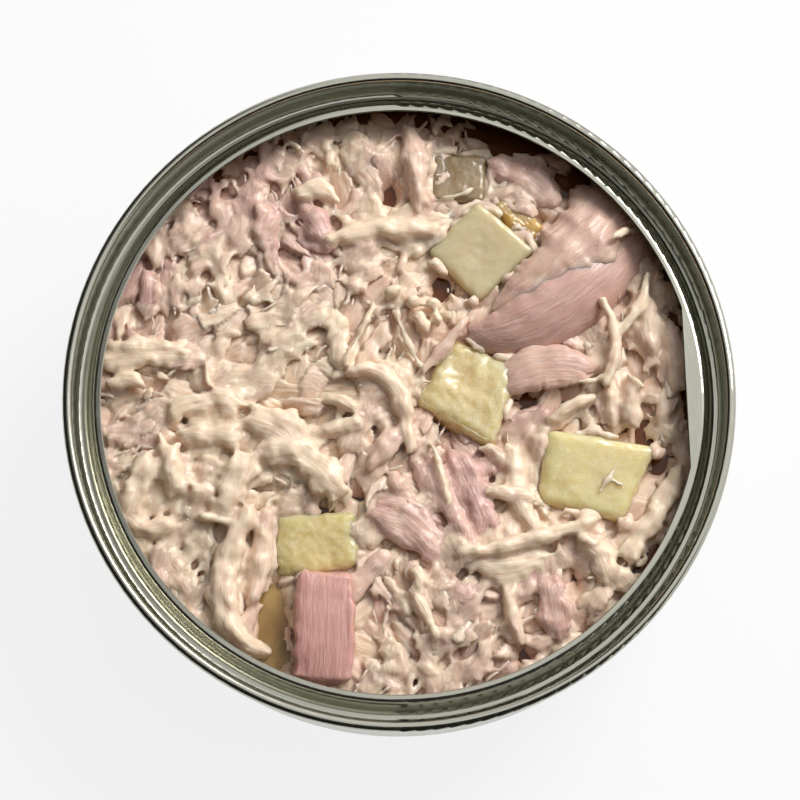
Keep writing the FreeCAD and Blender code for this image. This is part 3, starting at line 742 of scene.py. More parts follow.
# %% Slabs
SLAB = dict(rings=34, around=28, boxy=2.2, groove=0.05, groove_step=0.6, ragged=1.4,
            wander=0.42, pink=0.0, shade=0.8)
for path, width, thick, lift in (
    (((-38.4, 5.2), (-33.0, 6.0), (-26.8, 6.4)), 4.2, 2.2, 0.4),
    (((-27.8, -4.4), (-24.0, -4.6), (-19.8, -5.0)), 3.4, 1.8, 0.7),
    (((-19.8, -2.0), (-15.5, -3.4), (-12.3, -6.0)), 4.6, 2.2, 0.9),
    (((-18.0, -7.6), (-13.2, -7.2), (-9.8, -9.4), (-7.2, -12.8)), 4.4, 2.4, 0.9),
    (((-19.4, -6.8), (-20.6, -10.4), (-23.0, -14.8)), 4.2, 2.2, 0.8),
    (((-29.4, -4.8), (-29.0, -8.6), (-28.4, -12.6)), 3.0, 2.0, 1.0),
    (((-27.4, -11.4), (-23.6, -12.4)), 3.4, 1.8, 0.5),
    (((-29.6, -2.6), (-27.2, -0.8), (-23.4, -0.2), (-19.6, -1.4)), 3.2, 1.8, 0.6),
    (((-31.2, -7.4), (-33.2, -11.0), (-34.6, -15.2)), 4.4, 2.2, 0.8),
    (((-34.8, -14.4), (-31.8, -16.8), (-28.4, -15.6)), 2.6, 1.8, 0.6),
    (((22.9, -18.2), (25.4, -20.0), (26.6, -23.4)), 3.0, 2.2, 0.5),
    (((27.0, -21.6), (30.4, -24.4)), 4.4, 2.0, 0.3),
    (((28.0, -21.6), (31.8, -16.0), (36.0, -9.0)), 3.0, 1.8, 0.8),
    (((8.4, -20.8), (13.0, -21.4), (18.6, -20.2)), 4.2, 1.6, 0.3),
):
    lay(shreds, path, width, thick, lift, (0.8, 0.8), **SLAB)
print(len(shreds.points), "pieces with the slabs")

# %% [markdown]
# Cords are thick, round strands. The longest one curls round by the pink block, and one
# in the middle forks. They lie high, so they throw shadows on what is under them.

# %% Cords
CORD = dict(rings=40, around=20, boxy=2.0, groove=0.05, groove_step=0.5, ragged=0.9,
            wander=0.26, pink=0.02, shade=0.8)
for path, width, thick, lift in (
    (((-18.6, -13.8), (-20.2, -17.0), (-21.7, -20.8), (-22.4, -24.8), (-21.4, -28.6),
      (-19.2, -31.4), (-16.4, -32.4)), 3.4, 2.8, 1.1),
    (((-6.8, 3.0), (-4.2, 3.9), (-1.2, 2.4), (0.5, -1.0), (1.1, -4.2), (1.7, -7.2)),
     2.3, 2.0, 1.1),
    (((7.4, -19.8), (12.8, -19.3), (17.9, -17.9), (24.2, -16.2)), 2.0, 1.8, 1.2),
    (((11.0, -12.1), (14.1, -12.4), (17.2, -12.6)), 2.0, 1.7, 1.5),
    (((14.4, -5.4), (14.8, -8.8), (15.2, -12.5), (16.4, -15.5), (18.6, -18.0)), 2.7, 2.0, 0.7),
    (((26.0, 13.6), (27.6, 9.9), (27.9, 6.8), (27.3, 4.4), (26.2, 1.6)), 1.6, 1.4, 2.0),
    (((32.3, 16.6), (31.5, 13.1), (29.9, 10.8), (28.0, 7.9)), 1.5, 1.3, 1.8),
    (((-9.8, 21.0), (-5.1, 22.3), (0.1, 22.8), (5.4, 22.4)), 2.6, 2.0, 0.8),
    (((-37.6, 2.2), (-35.2, 2.5), (-32.4, 2.0)), 2.2, 1.8, 0.8),
    (((-13.6, 27.4), (-10.6, 28.1), (-8.0, 26.8)), 2.8, 1.7, 0.8),
    (((-9.6, 0.2), (-7.3, -0.2), (-5.0, -1.6)), 2.1, 1.7, 0.6),
    (((-10.6, -4.5), (-7.6, -3.4), (-4.5, -2.8)), 2.0, 1.6, 0.5),
    (((1.4, -21.3), (2.4, -22.7), (3.3, -24.6)), 2.1, 1.8, 0.9),
    (((1.0, -24.0), (2.9, -27.1), (5.0, -31.0)), 1.7, 1.5, 0.7),
    (((24.7, 0.4), (21.9, -1.0), (19.4, -2.9)), 1.8, 1.5, 1.0),
    (((-25.0, -15.2), (-21.6, -16.0)), 2.0, 1.8, 1.3),
    (((22.6, -16.6), (24.8, -15.4)), 2.2, 1.9, 1.4),
    (((16.4, 37.2), (20.2, 35.2), (24.6, 32.2)), 3.6, 1.2, 2.6),
):
    lay(shreds, path, width, thick, lift, **CORD)
print(len(shreds.points), "pieces with the cords")

# %% [markdown]
# Knobs are short lumps, where a cord ends or the meat has balled up.

# %% Knobs
KNOB_LIFT = 1.1
KNOB = dict(rings=18, around=18, boxy=2.0, groove=0.14, groove_step=0.8, ragged=0.6,
            wander=0.3, pink=0.0, shade=0.85)
for path, width, thick in (
    (((0.8, 12.6), (2.9, 13.2)), 2.6, 2.4), (((3.2, 12.9), (5.4, 12.4)), 2.6, 2.4),
    (((2.0, 11.6), (3.6, 9.0)), 3.2, 2.8), (((4.4, 11.6), (5.4, 10.0)), 2.2, 2.2),
    (((-2.4, 13.6), (0.0, 14.6)), 2.4, 2.0), (((22.6, -18.0), (25.0, -18.8)), 2.6, 2.4),
):
    lay(shreds, path, width, thick, KNOB_LIFT, **KNOB)
print(len(shreds.points), "pieces with the knobs")

# %% [markdown]
# Pink slabs come from darker muscle. Each row also says how pink the piece is.

# %% Pink slabs
PINK_SLAB = dict(rings=34, around=28, boxy=1.9, groove=0.08, groove_step=0.5, ragged=1.0,
                 wander=0.26, shade=0.62)
for path, width, thick, lift, pink in (
    (((-12.5, 25.6), (-10.6, 23.2), (-9.0, 20.3)), 3.6, 2.0, 0.4, 0.95),
    (((1.2, 37.6), (1.9, 32.1), (3.2, 25.2)), 3.2, 2.2, 0.5, 0.45),
    (((0.1, -3.6), (-1.8, -6.0), (-3.6, -8.8)), 3.4, 1.8, 0.8, 0.55),
    (((7.0, -6.6), (9.5, -11.9), (11.6, -17.4)), 4.6, 2.2, 0.3, 1.05),
    (((4.4, -7.6), (6.2, -13.0), (9.0, -18.6)), 3.0, 1.8, 0.2, 0.85),
    (((-3.4, -14.2), (1.2, -16.0), (5.4, -20.4)), 5.4, 1.8, 0.2, 0.8),
    (((-1.6, -20.0), (-4.6, -23.2), (-6.6, -26.6)), 3.2, 1.6, 0.2, 0.6),
    (((19.0, -22.2), (19.4, -26.4), (20.2, -30.6)), 4.6, 2.0, 0.4, 0.9),
    (((14.0, -24.2), (14.2, -28.0), (15.4, -31.2)), 2.2, 1.6, 0.7, 0.15),
    (((11.6, 31.8), (16.4, 30.8), (20.8, 26.6)), 4.0, 2.0, -0.2, 0.75),
    (((31.2, 14.6), (32.2, 10.4), (32.8, 6.0)), 3.8, 2.6, 0.3, 0.25),
    (((35.2, 10.4), (35.8, 5.6), (36.0, 1.0)), 3.2, 2.4, 0.6, 0.3),
    (((27.1, 2.6), (27.3, -0.4), (27.5, -3.4)), 2.0, 1.6, 0.4, 0.2),
    (((30.0, 2.8), (29.9, -0.6), (30.2, -4.2)), 2.5, 1.8, 0.6, 0.2),
    (((8.6, 10.6), (5.9, 7.1), (3.2, 3.8)), 1.5, 1.3, 0.9, 0.45),
    (((-16.6, -13.4), (-17.4, -18.3), (-17.8, -22.1), (-18.8, -26.8)), 2.4, 2.0, 0.6, 0.3),
):
    lay(shreds, path, width, thick, lift, pink=pink, **PINK_SLAB)
print(len(shreds.points), "pieces with the pink slabs")

# %% [markdown]
# Threads are single strands that stand out white. None is thinner than the skin that is
# wrapped round them below can follow.

# %% Threads
THREAD_THICK = 0.7
THREAD = dict(rings=20, around=10, boxy=2.0, groove=0.0, ragged=0.6, wander=0.4,
              pink=0.0, shade=0.95)
for path, width, lift in (
    (((-2.9, 13.6), (-4.8, 9.1), (-7.1, 4.2)), 0.9, 0.8),
    (((-0.9, 12.2), (0.9, 8.0), (3.1, 3.9)), 1.0, 0.8),
    (((-0.2, 12.2), (0.6, 8.4), (2.4, 5.0)), 0.75, 0.8),
    (((-24.9, 5.0), (-24.6, 3.1), (-24.3, 1.4)), 0.9, 1.2),
    (((-15.6, 34.3), (-14.1, 34.5), (-12.4, 32.8)), 0.9, 1.3),
    (((5.2, 27.1), (8.5, 27.7), (10.2, 28.8)), 0.75, 0.5),
    (((25.3, -12.3), (26.8, -10.2), (27.5, -8.6)), 0.75, 1.9),
    (((26.8, -10.2), (28.8, -11.3)), 0.75, 1.9),
    (((-10.6, -26.6), (-9.2, -28.2), (-7.0, -28.0)), 0.75, 2.2),
    (((27.6, 3.9), (24.9, 2.4), (22.6, 2.2)), 0.75, 1.6),
    (((27.7, 4.2), (30.2, 2.6), (31.6, 0.9)), 0.9, 1.6),
    (((27.4, 20.6), (29.2, 22.0), (31.4, 22.6)), 1.4, (4.2, 3.6, 2.2)),
    (((4.0, -5.4), (5.4, -9.3), (6.6, -14.0)), 1.0, 1.1),
    (((4.6, 30.0), (7.0, 30.6)), 0.8, 0.8),
):
    lay(shreds, path, width, THREAD_THICK, lift, **THREAD)
print(len(shreds.points), "pieces with the threads")

# %% [markdown]
# ## Press the shreds together
# Wet shreds cling: where two touch, one can't see a clean line between them. A voxel
# remesh does the same to a mesh. It wraps all the shreds in one skin, and a little
# smoothing fills the corners. The skin is new, so pinkness and shade are looked up again
# from the nearest old point, and fine ridges along the grain are pressed into it.

# %% Wrap the shreds in one skin
SKIN_STEP = 0.355  # millimetres between the voxels the skin is built from; the finest that keeps the skin under 200,000 triangles
SKIN_RIDGES = 0.06
SKIN_LUMPS = 0.17


def pressed_together(batch, name):
    """One skin over everything in the batch, with its pinkness, shade and grain."""
    loose = batch.build(name + "_loose")
    wrap = loose.modifiers.new("wrap", "REMESH")
    wrap.mode = "VOXEL"
    wrap.voxel_size = SKIN_STEP * MM
    ease = loose.modifiers.new("ease", "SMOOTH")
    ease.factor, ease.iterations = 0.5, 1
    ready = loose.evaluated_get(bpy.context.evaluated_depsgraph_get())
    mesh = bpy.data.meshes.new_from_object(ready)
    bpy.data.objects.remove(loose)
    old = np.concatenate(batch.points)
    tree = KDTree(len(old))
    for number, point in enumerate(old):
        tree.insert(point, number)
    tree.balance()
    count = len(mesh.vertices)
    places, facing = np.empty(count * 3, np.float32), np.empty(count * 3, np.float32)
    mesh.vertices.foreach_get("co", places)
    mesh.vertices.foreach_get("normal", facing)
    places, facing = places.reshape(-1, 3) / MM, facing.reshape(-1, 3)
    nearest = np.array([tree.find(place)[1] for place in places])
    axes = np.concatenate(batch.axes)[nearest]
    step = places - old[nearest]
    grain = np.concatenate(batch.grain)[nearest] + (axes * step[:, None, :]).sum(axis=2)
    ridge = 1 - 2 * np.abs(noise(grain[:, 0] * 1.9 + grain[:, 1] * 1.3, grain[:, 2] * 3.0, 61))
    x, y, z = places.T
    lump = (noise(x * 0.75 + z * 0.5, y * 0.75 - z * 0.4, 62)
            + 0.45 * noise(x * 1.9, y * 1.9 + z, 63))
    places = places + facing * (SKIN_RIDGES * ridge + SKIN_LUMPS * lump)[:, None]
    mesh.vertices.foreach_set("co", (places * MM).astype(np.float32).ravel())
    write_looks(mesh, np.concatenate(batch.pink)[nearest], np.concatenate(batch.shade)[nearest],
                grain)
    print(name, "has", len(mesh.polygons), "faces")
    return put(name, mesh)


LOOSE = [pressed_together(shreds, "pressed_shreds"), loose_fibres.build("loose_fibres")]
for piece in LOOSE:
    piece.data.materials.clear()
    piece.data.materials.append(MEAT)

# %% [markdown]
# ## The large pieces of darker meat
# The long piece is a muscle folded along its length: a fibrous back, and a smoother
# lower face that turns away into shadow. Two sweeps laid against each other give the
# fold line between them. The block and the flake are single sweeps, and the block's
# squarer section and blunt ends make it look cut with a knife. Each station is x, y,
# height, width, thickness and roll in degrees.

# %% Large pieces of meat
chunk = Batch()
meat(chunk, [(12.6, 11.6, 20.4, 2.0, 1.4, 10), (15.4, 13.8, 20.9, 4.2, 2.6, 12),
             (19.8, 17.6, 21.3, 6.8, 3.6, 12), (25.0, 22.6, 20.6, 9.6, 4.2, 8),
             (29.0, 27.0, 18.6, 10.4, 3.4, 4), (32.4, 30.4, 17.2, 8.0, 2.8, 4)],
     rings=110, around=90, boxy=2.0, groove=0.14, groove_step=0.9, ragged=0.8, wander=0.16,
     swell=0.12, pink=0.75, shade=0.66, seed=3)
meat(chunk, [(8.6, 8.8, 20.0, 2.4, 1.6, -20), (13.0, 8.8, 20.2, 6.0, 3.6, -20),
             (19.0, 11.2, 20.5, 8.6, 4.6, -20), (25.4, 15.8, 20.1, 8.4, 4.6, -20),
             (30.2, 20.6, 18.6, 7.4, 3.8, -18), (34.0, 25.0, 17.4, 5.0, 3.0, -14)],
     rings=90, around=70, boxy=2.1, groove=0.03, groove_step=1.4, ragged=0.3, wander=0.05,
     swell=0.04, pink=1.05, shade=0.6, seed=11)
block = Batch()
meat(block, [(-9.2, -22.2, 20.2, 6.4, 4.2, 4), (-9.4, -25.6, 20.3, 7.4, 4.6, 4),
             (-9.4, -31.4, 20.3, 7.6, 4.6, 2), (-9.6, -36.2, 19.9, 7.0, 4.2, 0)],
     rings=90, around=72, boxy=6.0, groove=0.05, groove_step=0.9, ragged=0.5, wander=0.05,
     swell=0.08, blunt=0.14, pink=1.25, shade=0.7, seed=5)
flake = Batch()
meat(flake, [(12.8, 2.6, 20.2, 4.0, 1.8, 4), (18.0, 4.2, 20.6, 6.0, 2.2, 4),
             (22.0, 4.4, 20.6, 5.0, 2.0, 2), (25.2, 3.8, 20.3, 2.8, 1.4, 0)],
     rings=50, around=44, boxy=2.4, groove=0.06, groove_step=0.6, ragged=0.9, wander=0.12,
     swell=0.15, pink=0.8, shade=0.7, seed=8)
CHUNK = chunk.build("long_meat")
BLOCK = block.build("block_of_meat")
FLAKE = flake.build("flake_of_meat")

# %% [markdown]
# Dark meat holds more of the pigment that turns pink when it is cooked. It is the same wet
# material with a duller or rosier end to its colours and fewer pale fibres.

# %% Materials: poached dark meat and rosy meat
DARK_MEAT = poached_meat("poached_dark_meat_wet", 15.0, 18.4, "CFA79B", 0.3)
ROSY_MEAT = poached_meat("poached_rosy_meat_wet", 14.0, 17.5, "D4A097", 0.25)
CHUNK.data.materials.append(DARK_MEAT)
FLAKE.data.materials.append(DARK_MEAT)
BLOCK.data.materials.append(ROSY_MEAT)
print(DARK_MEAT.name, "and", ROSY_MEAT.name, "share the recipe of", MEAT.name)

# %% [markdown]
# ## Diced fruit
# A dice of cooked fruit starts as a cut cube, and the cooking rounds its edges and pits
# its faces. The mesh starts as a cube cut into a fine grid. Each point is pulled in to
# round the edges, stretched onto the four corners of the piece's top, and spread a little
# towards its base.

# %% Build the dice
DICE_CUTS = 30
DICE_DEPTH = 7.0


def dice(name, corners, top, edge, spread, pitting, tilt):
    """Rounded block under the four corners of its top; edge is a share of its half width."""
    steps = np.linspace(-1, 1, DICE_CUTS)
    s, t = np.meshgrid(steps, steps, indexing="ij")
    s, t, one = s.ravel(), t.ravel(), np.ones(s.size)
    sides = [np.column_stack(c) for c in ((s, t, one), (t, s, -one), (one, s, t),
                                          (-one, t, s), (t, one, s), (s, -one, t))]
    cells = np.arange(DICE_CUTS * DICE_CUTS).reshape(DICE_CUTS, DICE_CUTS)
    quads = np.stack([cells[:-1, :-1], cells[1:, :-1], cells[1:, 1:], cells[:-1, 1:]],
                     axis=-1).reshape(-1, 4)
    unit = np.vstack(sides)
    faces = np.vstack([quads + number * len(s) for number in range(6)])
    core = np.clip(unit, edge - 1, 1 - edge)
    away = unit - core
    size = np.linalg.norm(away, axis=1, keepdims=True)
    unit = core + away / np.maximum(size, TINY) * np.minimum(edge, size)
    a, b, c, d = (np.array(corner) for corner in corners)
    u, v = (unit[:, :1] + 1) / 2, (unit[:, 1:2] + 1) / 2
    flat = a * (1 - u) * (1 - v) + b * u * (1 - v) + c * u * v + d * (1 - u) * v
    middle = flat.mean(axis=0)
    down = (1 - unit[:, 2:3]) / 2
    flat = middle + (flat - middle) * (1 + spread * down)
    z = top - DICE_DEPTH * down[:, 0]
    z = z + ((flat - middle) * tilt).sum(axis=1) * (1 - down[:, 0])
    points = np.column_stack([flat, z])
    facing = np.column_stack([flat - middle, (unit[:, 2] > 0.9) * 6.0])
    facing /= np.linalg.norm(facing, axis=1, keepdims=True) + TINY
    pits = (1.3 * noise(points[:, 0] * 0.35 + points[:, 2] * 0.3, points[:, 1] * 0.35, 21)
            + 0.5 * noise(points[:, 0] * 1.3, points[:, 1] * 1.3 + points[:, 2], 22)
            + 0.35 * noise(points[:, 0] * 3.1 + points[:, 2] * 2, points[:, 1] * 3.1, 23))
    points = points + facing * (pitting * pits)[:, None]
    batch = Batch()
    batch.add(points, faces, 0.0, 0.6)
    made = batch.build(name)
    made.data.validate()
    return made


print("each side of a dice is a grid of", DICE_CUTS, "by", DICE_CUTS, "points")

# %% [markdown]
# The fruit is see-through like a boiled sweet, only cloudy. Light enters, turns yellow
# inside and leaves somewhere else, which subsurface scattering does. Its top is painted
# paler, as lit, and its colour is painted darker towards the base, as shade; pale rough
# patches show where the flesh was torn. The grain is the size of the fruit's cells in
# clumps, from 0.2 to 0.8 mm.

# %% Material: cooked fruit flesh, cloudy and wet
LIGHT_IN_FRUIT = 4.0  # millimetres that light travels inside it
TOP_SHELL, BASE_FROM = 0.2, 2.4  # depths between which the painted shade deepens


def cooked_fruit(name, light, painted_shade, torn, grain_mm, torn_from, top):
    """Cloudy flesh painted lit at the top and shaded towards the base, with torn white patches."""
    made, tree, shader = new_material(name)
    place = add(tree, "ShaderNodeTexCoord").outputs["Object"]
    height = add(tree, "ShaderNodeSeparateXYZ", None, Vector=place).outputs["Z"]
    # Painted light and shade: the colour is lighter at the top and darkens towards the base.
    low = add(tree, "ShaderNodeMapRange", {"From Min": (top - TOP_SHELL) * MM,
                                           "From Max": (top - BASE_FROM) * MM}, Value=height)
    body = add(tree, "ShaderNodeMix", {"data_type": "RGBA"}, i0=low.outputs[0])
    body.inputs[6].default_value = colour(light)
    body.inputs[7].default_value = colour(painted_shade)
    grain = add(tree, "ShaderNodeTexNoise", {"Scale": 1 / (grain_mm * MM), "Detail": 5.0,
                                             "Roughness": 0.7, "Distortion": 0.8}, Vector=place)
    patch = add(tree, "ShaderNodeMapRange", {"From Min": torn_from, "From Max": torn_from + 0.2,
                                             "To Max": 0.6}, Value=grain.outputs["Fac"])
    final = add(tree, "ShaderNodeMix", {"data_type": "RGBA"}, i0=patch.outputs[0])
    final.inputs[7].default_value = colour(torn)
    tree.links.new(body.outputs[2], final.inputs[6])
    tree.links.new(final.outputs[2], shader.inputs["Base Color"])
    bump = add(tree, "ShaderNodeBump", {"Strength": 0.3, "Distance": 0.2 * MM},
               Height=grain.outputs["Fac"])
    tree.links.new(bump.outputs[0], shader.inputs["Normal"])
    shader.inputs["Roughness"].default_value = 0.2
    shader.inputs["IOR"].default_value = 1.38
    shader.inputs["Subsurface Weight"].default_value = 0.85
    shader.inputs["Subsurface Radius"].default_value = (1.0, 0.8, 0.42)
    shader.inputs["Subsurface Scale"].default_value = LIGHT_IN_FRUIT * MM
    shader.inputs["Coat Weight"].default_value = 0.7
    shader.inputs["Coat Roughness"].default_value = 0.08
    return made


print("light travels about", LIGHT_IN_FRUIT, "mm in the fruit and", LIGHT_IN_MEAT, "in meat")

# %% [markdown]
# The pieces differ: one is beige, one is olive-brown and painted darker for the rim's shade
# that falls on it, and three are yellow. Each row gives its colours, its grain and how far it
# has lost its cut shape.

# %% Five dice of fruit
DICE_LOOKS = {
    # top colour as painted light, base colour as painted shade, torn, grain in mm, share of noise
    # that is torn, edge, spread, pitting, tilt
    "fruit_cube_upper": ("D2C096", "AC7F3A", "E0D2AE", 0.22, 0.47, 0.16, 0.10, 0.10, (0.03, 0.05)),
    # The back dice's colours are painted darker as the rim's shade, on an olive-brown fruit.
    "fruit_cube_back": ("9E8766", "6E5636", "B7A286", 0.25, 0.50, 0.2, 0.05, 0.14, (0.0, -0.05)),
    "fruit_cube_middle": ("E6D09A", "CB9C46", "F5EDD4", 0.4, 0.47, 0.26, 0.34, 0.3, (0.05, -0.06)),
    "fruit_cube_right": ("E8D69C", "C4963C", "F4EBD0", 0.6, 0.49, 0.24, 0.16, 0.14, (0.02, 0.06)),
    "fruit_cube_left": ("E2CC90", "BE9240", "F0E4C0", 0.4, 0.48, 0.24, 0.14, 0.24, (0.04, 0.05)),
}
for name, (corners, top) in DICE.items():
    light, painted_shade, torn, grain_mm, torn_from, edge, spread, pitting, tilt = DICE_LOOKS[name]
    made = dice(name + "_flesh", corners, top, edge, spread, pitting, tilt)
    made.data.materials.append(
        cooked_fruit(name + "_cooked", light, painted_shade, torn, grain_mm, torn_from, top))
    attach(made, "root")
    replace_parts(made, name)

# %% [markdown]
# A scrap of the same fruit, soaked brown, lies between the upper dice and the long meat.
# It was never a whole dice, so it is made in the same way with its own four corners.

# %% A soaked scrap of fruit
scrap = dice("fruit_scrap", ((11.4, 26.8), (17.4, 20.8), (19.2, 23.4), (14.2, 28.8)), 20.0,
             0.3, 0.1, 0.3, (0.0, -0.1))
scrap.data.materials.append(
    cooked_fruit("fruit_scrap_soaked", "CFA664", "9C6A2C", "DDBE8A", 0.8, 0.56, 20.0))
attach(scrap, "root")
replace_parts(scrap, "meat_heap")

# %% [markdown]
# ## Broth
# A little broth stands in the gaps, and one pool of it is open to view. A thin cylinder
# would do for its shape, but a liquid climbs a little where it meets the tin, so it gets
# a grid of rings that are closer together at the edge.

# %% Broth
BROTH_LEVEL, BROTH_BOTTOM, BROTH_RADIUS = 18.0, 2.0, 41.3
CLIMB_HEIGHT, CLIMB_WIDTH = 0.35, 0.45
POOL = (-15.9, -30.4)  # middle of the open pool
POOL_EDGE, MEAT_EDGE = 6.0, 11.0  # painted shade darkens the broth between these distances from it


def pool_of_broth(name, radius, top, bottom, around=160):
    """Round body of broth with a slightly raised edge, and its painted shade away from the pool.
    """
    rings = np.concatenate([np.linspace(0.01, radius - 1.2, 60),
                            np.linspace(radius - 1.1, radius, 8)])
    angle = np.linspace(0, 2 * math.pi, around, endpoint=False)
    r, a = np.meshgrid(rings, angle, indexing="ij")
    climb = CLIMB_HEIGHT * np.exp(-(radius - r) / CLIMB_WIDTH)
    surface = np.column_stack([(r * np.cos(a)).ravel(), (r * np.sin(a)).ravel(),
                               (top + climb).ravel()])
    under = surface[::-1].reshape(len(rings), around, 3)[:, ::-1].reshape(-1, 3).copy()
    under[:, 2] = bottom
    points = np.vstack([surface, under])
    from_pool = np.hypot(points[:, 0] - POOL[0], points[:, 1] - POOL[1])
    batch = Batch()
    batch.add(points, tube_faces(2 * len(rings), around), 0.0,
              smooth(POOL_EDGE, MEAT_EDGE, from_pool))
    return batch.build(name)


broth = pool_of_broth("amber_broth", BROTH_RADIUS, BROTH_LEVEL, BROTH_BOTTOM)

# %% [markdown]
# Broth is water with gelatine, juice and fat. It is cloudy, so it looks like dull amber
# rather than clear glass, and its top is as smooth as a mirror. In the gaps between the
# shreds it lies in shade over brown meat, which one darker colour stands for.

# %% Material: cloudy broth
BROTH_SWIRLS = 160.0  # per metre, so 6 mm across
broth_material, tree, shader = new_material("broth_cloudy")
place = add(tree, "ShaderNodeTexCoord").outputs["Object"]
swirl = add(tree, "ShaderNodeTexNoise", {"Scale": BROTH_SWIRLS, "Detail": 3.0,
                                         "Distortion": 0.6}, Vector=place)
amber = ramp(tree, swirl.outputs["Fac"], [(0.3, "8F6E3C"), (0.55, "B4935A"), (0.75, "C8AA70")])
# Painted shade: away from the open pool the broth is darkened to one brown.
painted_shade = add(tree, "ShaderNodeAttribute", {"attribute_name": "shade"}).outputs["Fac"]
dim = add(tree, "ShaderNodeMix", {"data_type": "RGBA"}, i0=painted_shade, i6=amber)
dim.inputs[7].default_value = colour("6A3C1C")
tree.links.new(dim.outputs[2], shader.inputs["Base Color"])
shader.inputs["Roughness"].default_value = 0.06
shader.inputs["IOR"].default_value = 1.35
shader.inputs["Subsurface Weight"].default_value = 0.5
shader.inputs["Subsurface Radius"].default_value = (1.0, 0.6, 0.2)
shader.inputs["Subsurface Scale"].default_value = 3.0 * MM
broth.data.materials.append(broth_material)
print(broth_material.name, "reaches", BROTH_LEVEL, "mm high")

# %% [markdown]
# ## What each piece stands for
# The solid model has its own plain pieces for the food. Each new mesh says which of them
# it replaces, and that it rides on the tin as one thing.

# %% Say which parts of the model the food stands for
for piece in [packed] + LOOSE:
    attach(piece, "root")
    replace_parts(piece, "meat_heap")
for piece, node in ((CHUNK, "meat_chunk"), (BLOCK, "meat_block"), (FLAKE, "meat_flake")):
    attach(piece, "root")
    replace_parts(piece, node)
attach(broth, "root")
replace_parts(broth, "broth")
replaced = {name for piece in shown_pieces() for name in piece.get("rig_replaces", [])}
print("the food replaces", ", ".join(sorted(replaced)))

# %% [markdown]
# ## Tinplate
# The tin is thin steel with a coat of tin and a clear food lacquer, which turns it from
# silver to olive grey. It was rolled and then spun on the seaming machine, so its fine
# marks run round it. The marks are noise that is stretched along the turn: narrow across
# the radius, long round the tin.

# %% Material: lacquered tinplate, spun
LACQUERED_TIN = "B4B3A6"
MARK_WIDTH = 0.4  # real marks are finer; these are as coarse as they need to show
MARK_LENGTH = 0.006  # the marks hardly change round the tin
LACQUER_CLOUDS = 50.0  # per metre, so 20 mm across


def lacquered_tinplate(name, roughness):
    """Olive-grey metal with fine marks that run round the tin."""
    made, tree, shader = new_material(name)
    place = add(tree, "ShaderNodeTexCoord").outputs["Object"]
    parts = add(tree, "ShaderNodeSeparateXYZ", None, Vector=place)
    flat = add(tree, "ShaderNodeCombineXYZ", None, X=parts.outputs["X"], Y=parts.outputs["Y"])
    out = add(tree, "ShaderNodeVectorMath", {"operation": "LENGTH"}, i0=flat.outputs[0])
    turn = add(tree, "ShaderNodeMath", {"operation": "ARCTAN2"},
               i0=parts.outputs["Y"], i1=parts.outputs["X"])
    slow = add(tree, "ShaderNodeMath", {"operation": "MULTIPLY", 1: MARK_LENGTH},
               i0=turn.outputs[0])
    rolled = add(tree, "ShaderNodeCombineXYZ", None, X=out.outputs["Value"],
                 Y=parts.outputs["Z"], Z=slow.outputs[0])
    marks = add(tree, "ShaderNodeTexNoise", {"Scale": 1 / (MARK_WIDTH * MM), "Detail": 3.0},
                Vector=rolled.outputs[0])
    clouds = add(tree, "ShaderNodeTexNoise", {"Scale": LACQUER_CLOUDS, "Detail": 2.0},
                 Vector=place)
    uneven = add(tree, "ShaderNodeMath", {"operation": "MULTIPLY_ADD", 1: 0.1, 2: 0.88},
                 i0=marks.outputs["Fac"])
    dulled = add(tree, "ShaderNodeMath", {"operation": "MULTIPLY_ADD", 1: 0.12},
                 i0=clouds.outputs["Fac"], i2=uneven.outputs[0])
    tone = add(tree, "ShaderNodeVectorMath", {"operation": "SCALE", 0: colour(LACQUERED_TIN)[:3]},
               Scale=dulled.outputs[0])
    tree.links.new(tone.outputs[0], shader.inputs["Base Color"])
    rough = add(tree, "ShaderNodeMapRange", {"From Min": 0.3, "From Max": 0.7,
                                             "To Min": roughness - 0.03,
                                             "To Max": roughness + 0.05},
                Value=marks.outputs["Fac"])
    tree.links.new(rough.outputs[0], shader.inputs["Roughness"])
    bump = add(tree, "ShaderNodeBump", {"Strength": 0.04, "Distance": 0.01 * MM},
               Height=marks.outputs["Fac"])
    tree.links.new(bump.outputs[0], shader.inputs["Normal"])
    shader.inputs["Metallic"].default_value = 1.0
    return made


for node, material in (
    ("end_ring", lacquered_tinplate("lacquered_tinplate_ring", 0.20)),
    ("can_body", lacquered_tinplate("lacquered_tinplate_body", 0.25)),
):
    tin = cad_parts[node]
    tin.data.materials.clear()
    tin.data.materials.append(material)
    print(node, "is now", material.name)

# %% [markdown]
# ## Floor
# The tin stands on plain white paper. White paper in the light of this scene would come
# out grey, so to the camera, to mirrors and through glass the floor mostly glows, while
# the rest of it still takes the tin's shadow. No light is added to the tin itself.

# %% Floor
GLOW_SHARE = 0.85
bpy.ops.mesh.primitive_plane_add(size=4.0, location=(0, 0, 0))
floor = bpy.context.object
floor.name = "floor"
floor_material, tree, shader = new_material("plain_white_floor")
shader.inputs["Base Color"].default_value = (0.8, 0.8, 0.8, 1)
shader.inputs["Roughness"].default_value = 0.9
seen = add(tree, "ShaderNodeLightPath")
both = add(tree, "ShaderNodeMath", {"operation": "MAXIMUM"},
           i0=seen.outputs["Is Camera Ray"], i1=seen.outputs["Is Glossy Ray"])
every = add(tree, "ShaderNodeMath", {"operation": "MAXIMUM"},
            i0=both.outputs[0], i1=seen.outputs["Is Transmission Ray"])
share = add(tree, "ShaderNodeMath", {"operation": "MULTIPLY", 1: GLOW_SHARE},
            i0=every.outputs[0])
glow = add(tree, "ShaderNodeEmission", {"Strength": 1.0})
glow.inputs["Color"].default_value = (1, 1, 1, 1)
mix = add(tree, "ShaderNodeMixShader", None, i0=share.outputs[0],
          i1=shader.outputs[0], i2=glow.outputs[0])
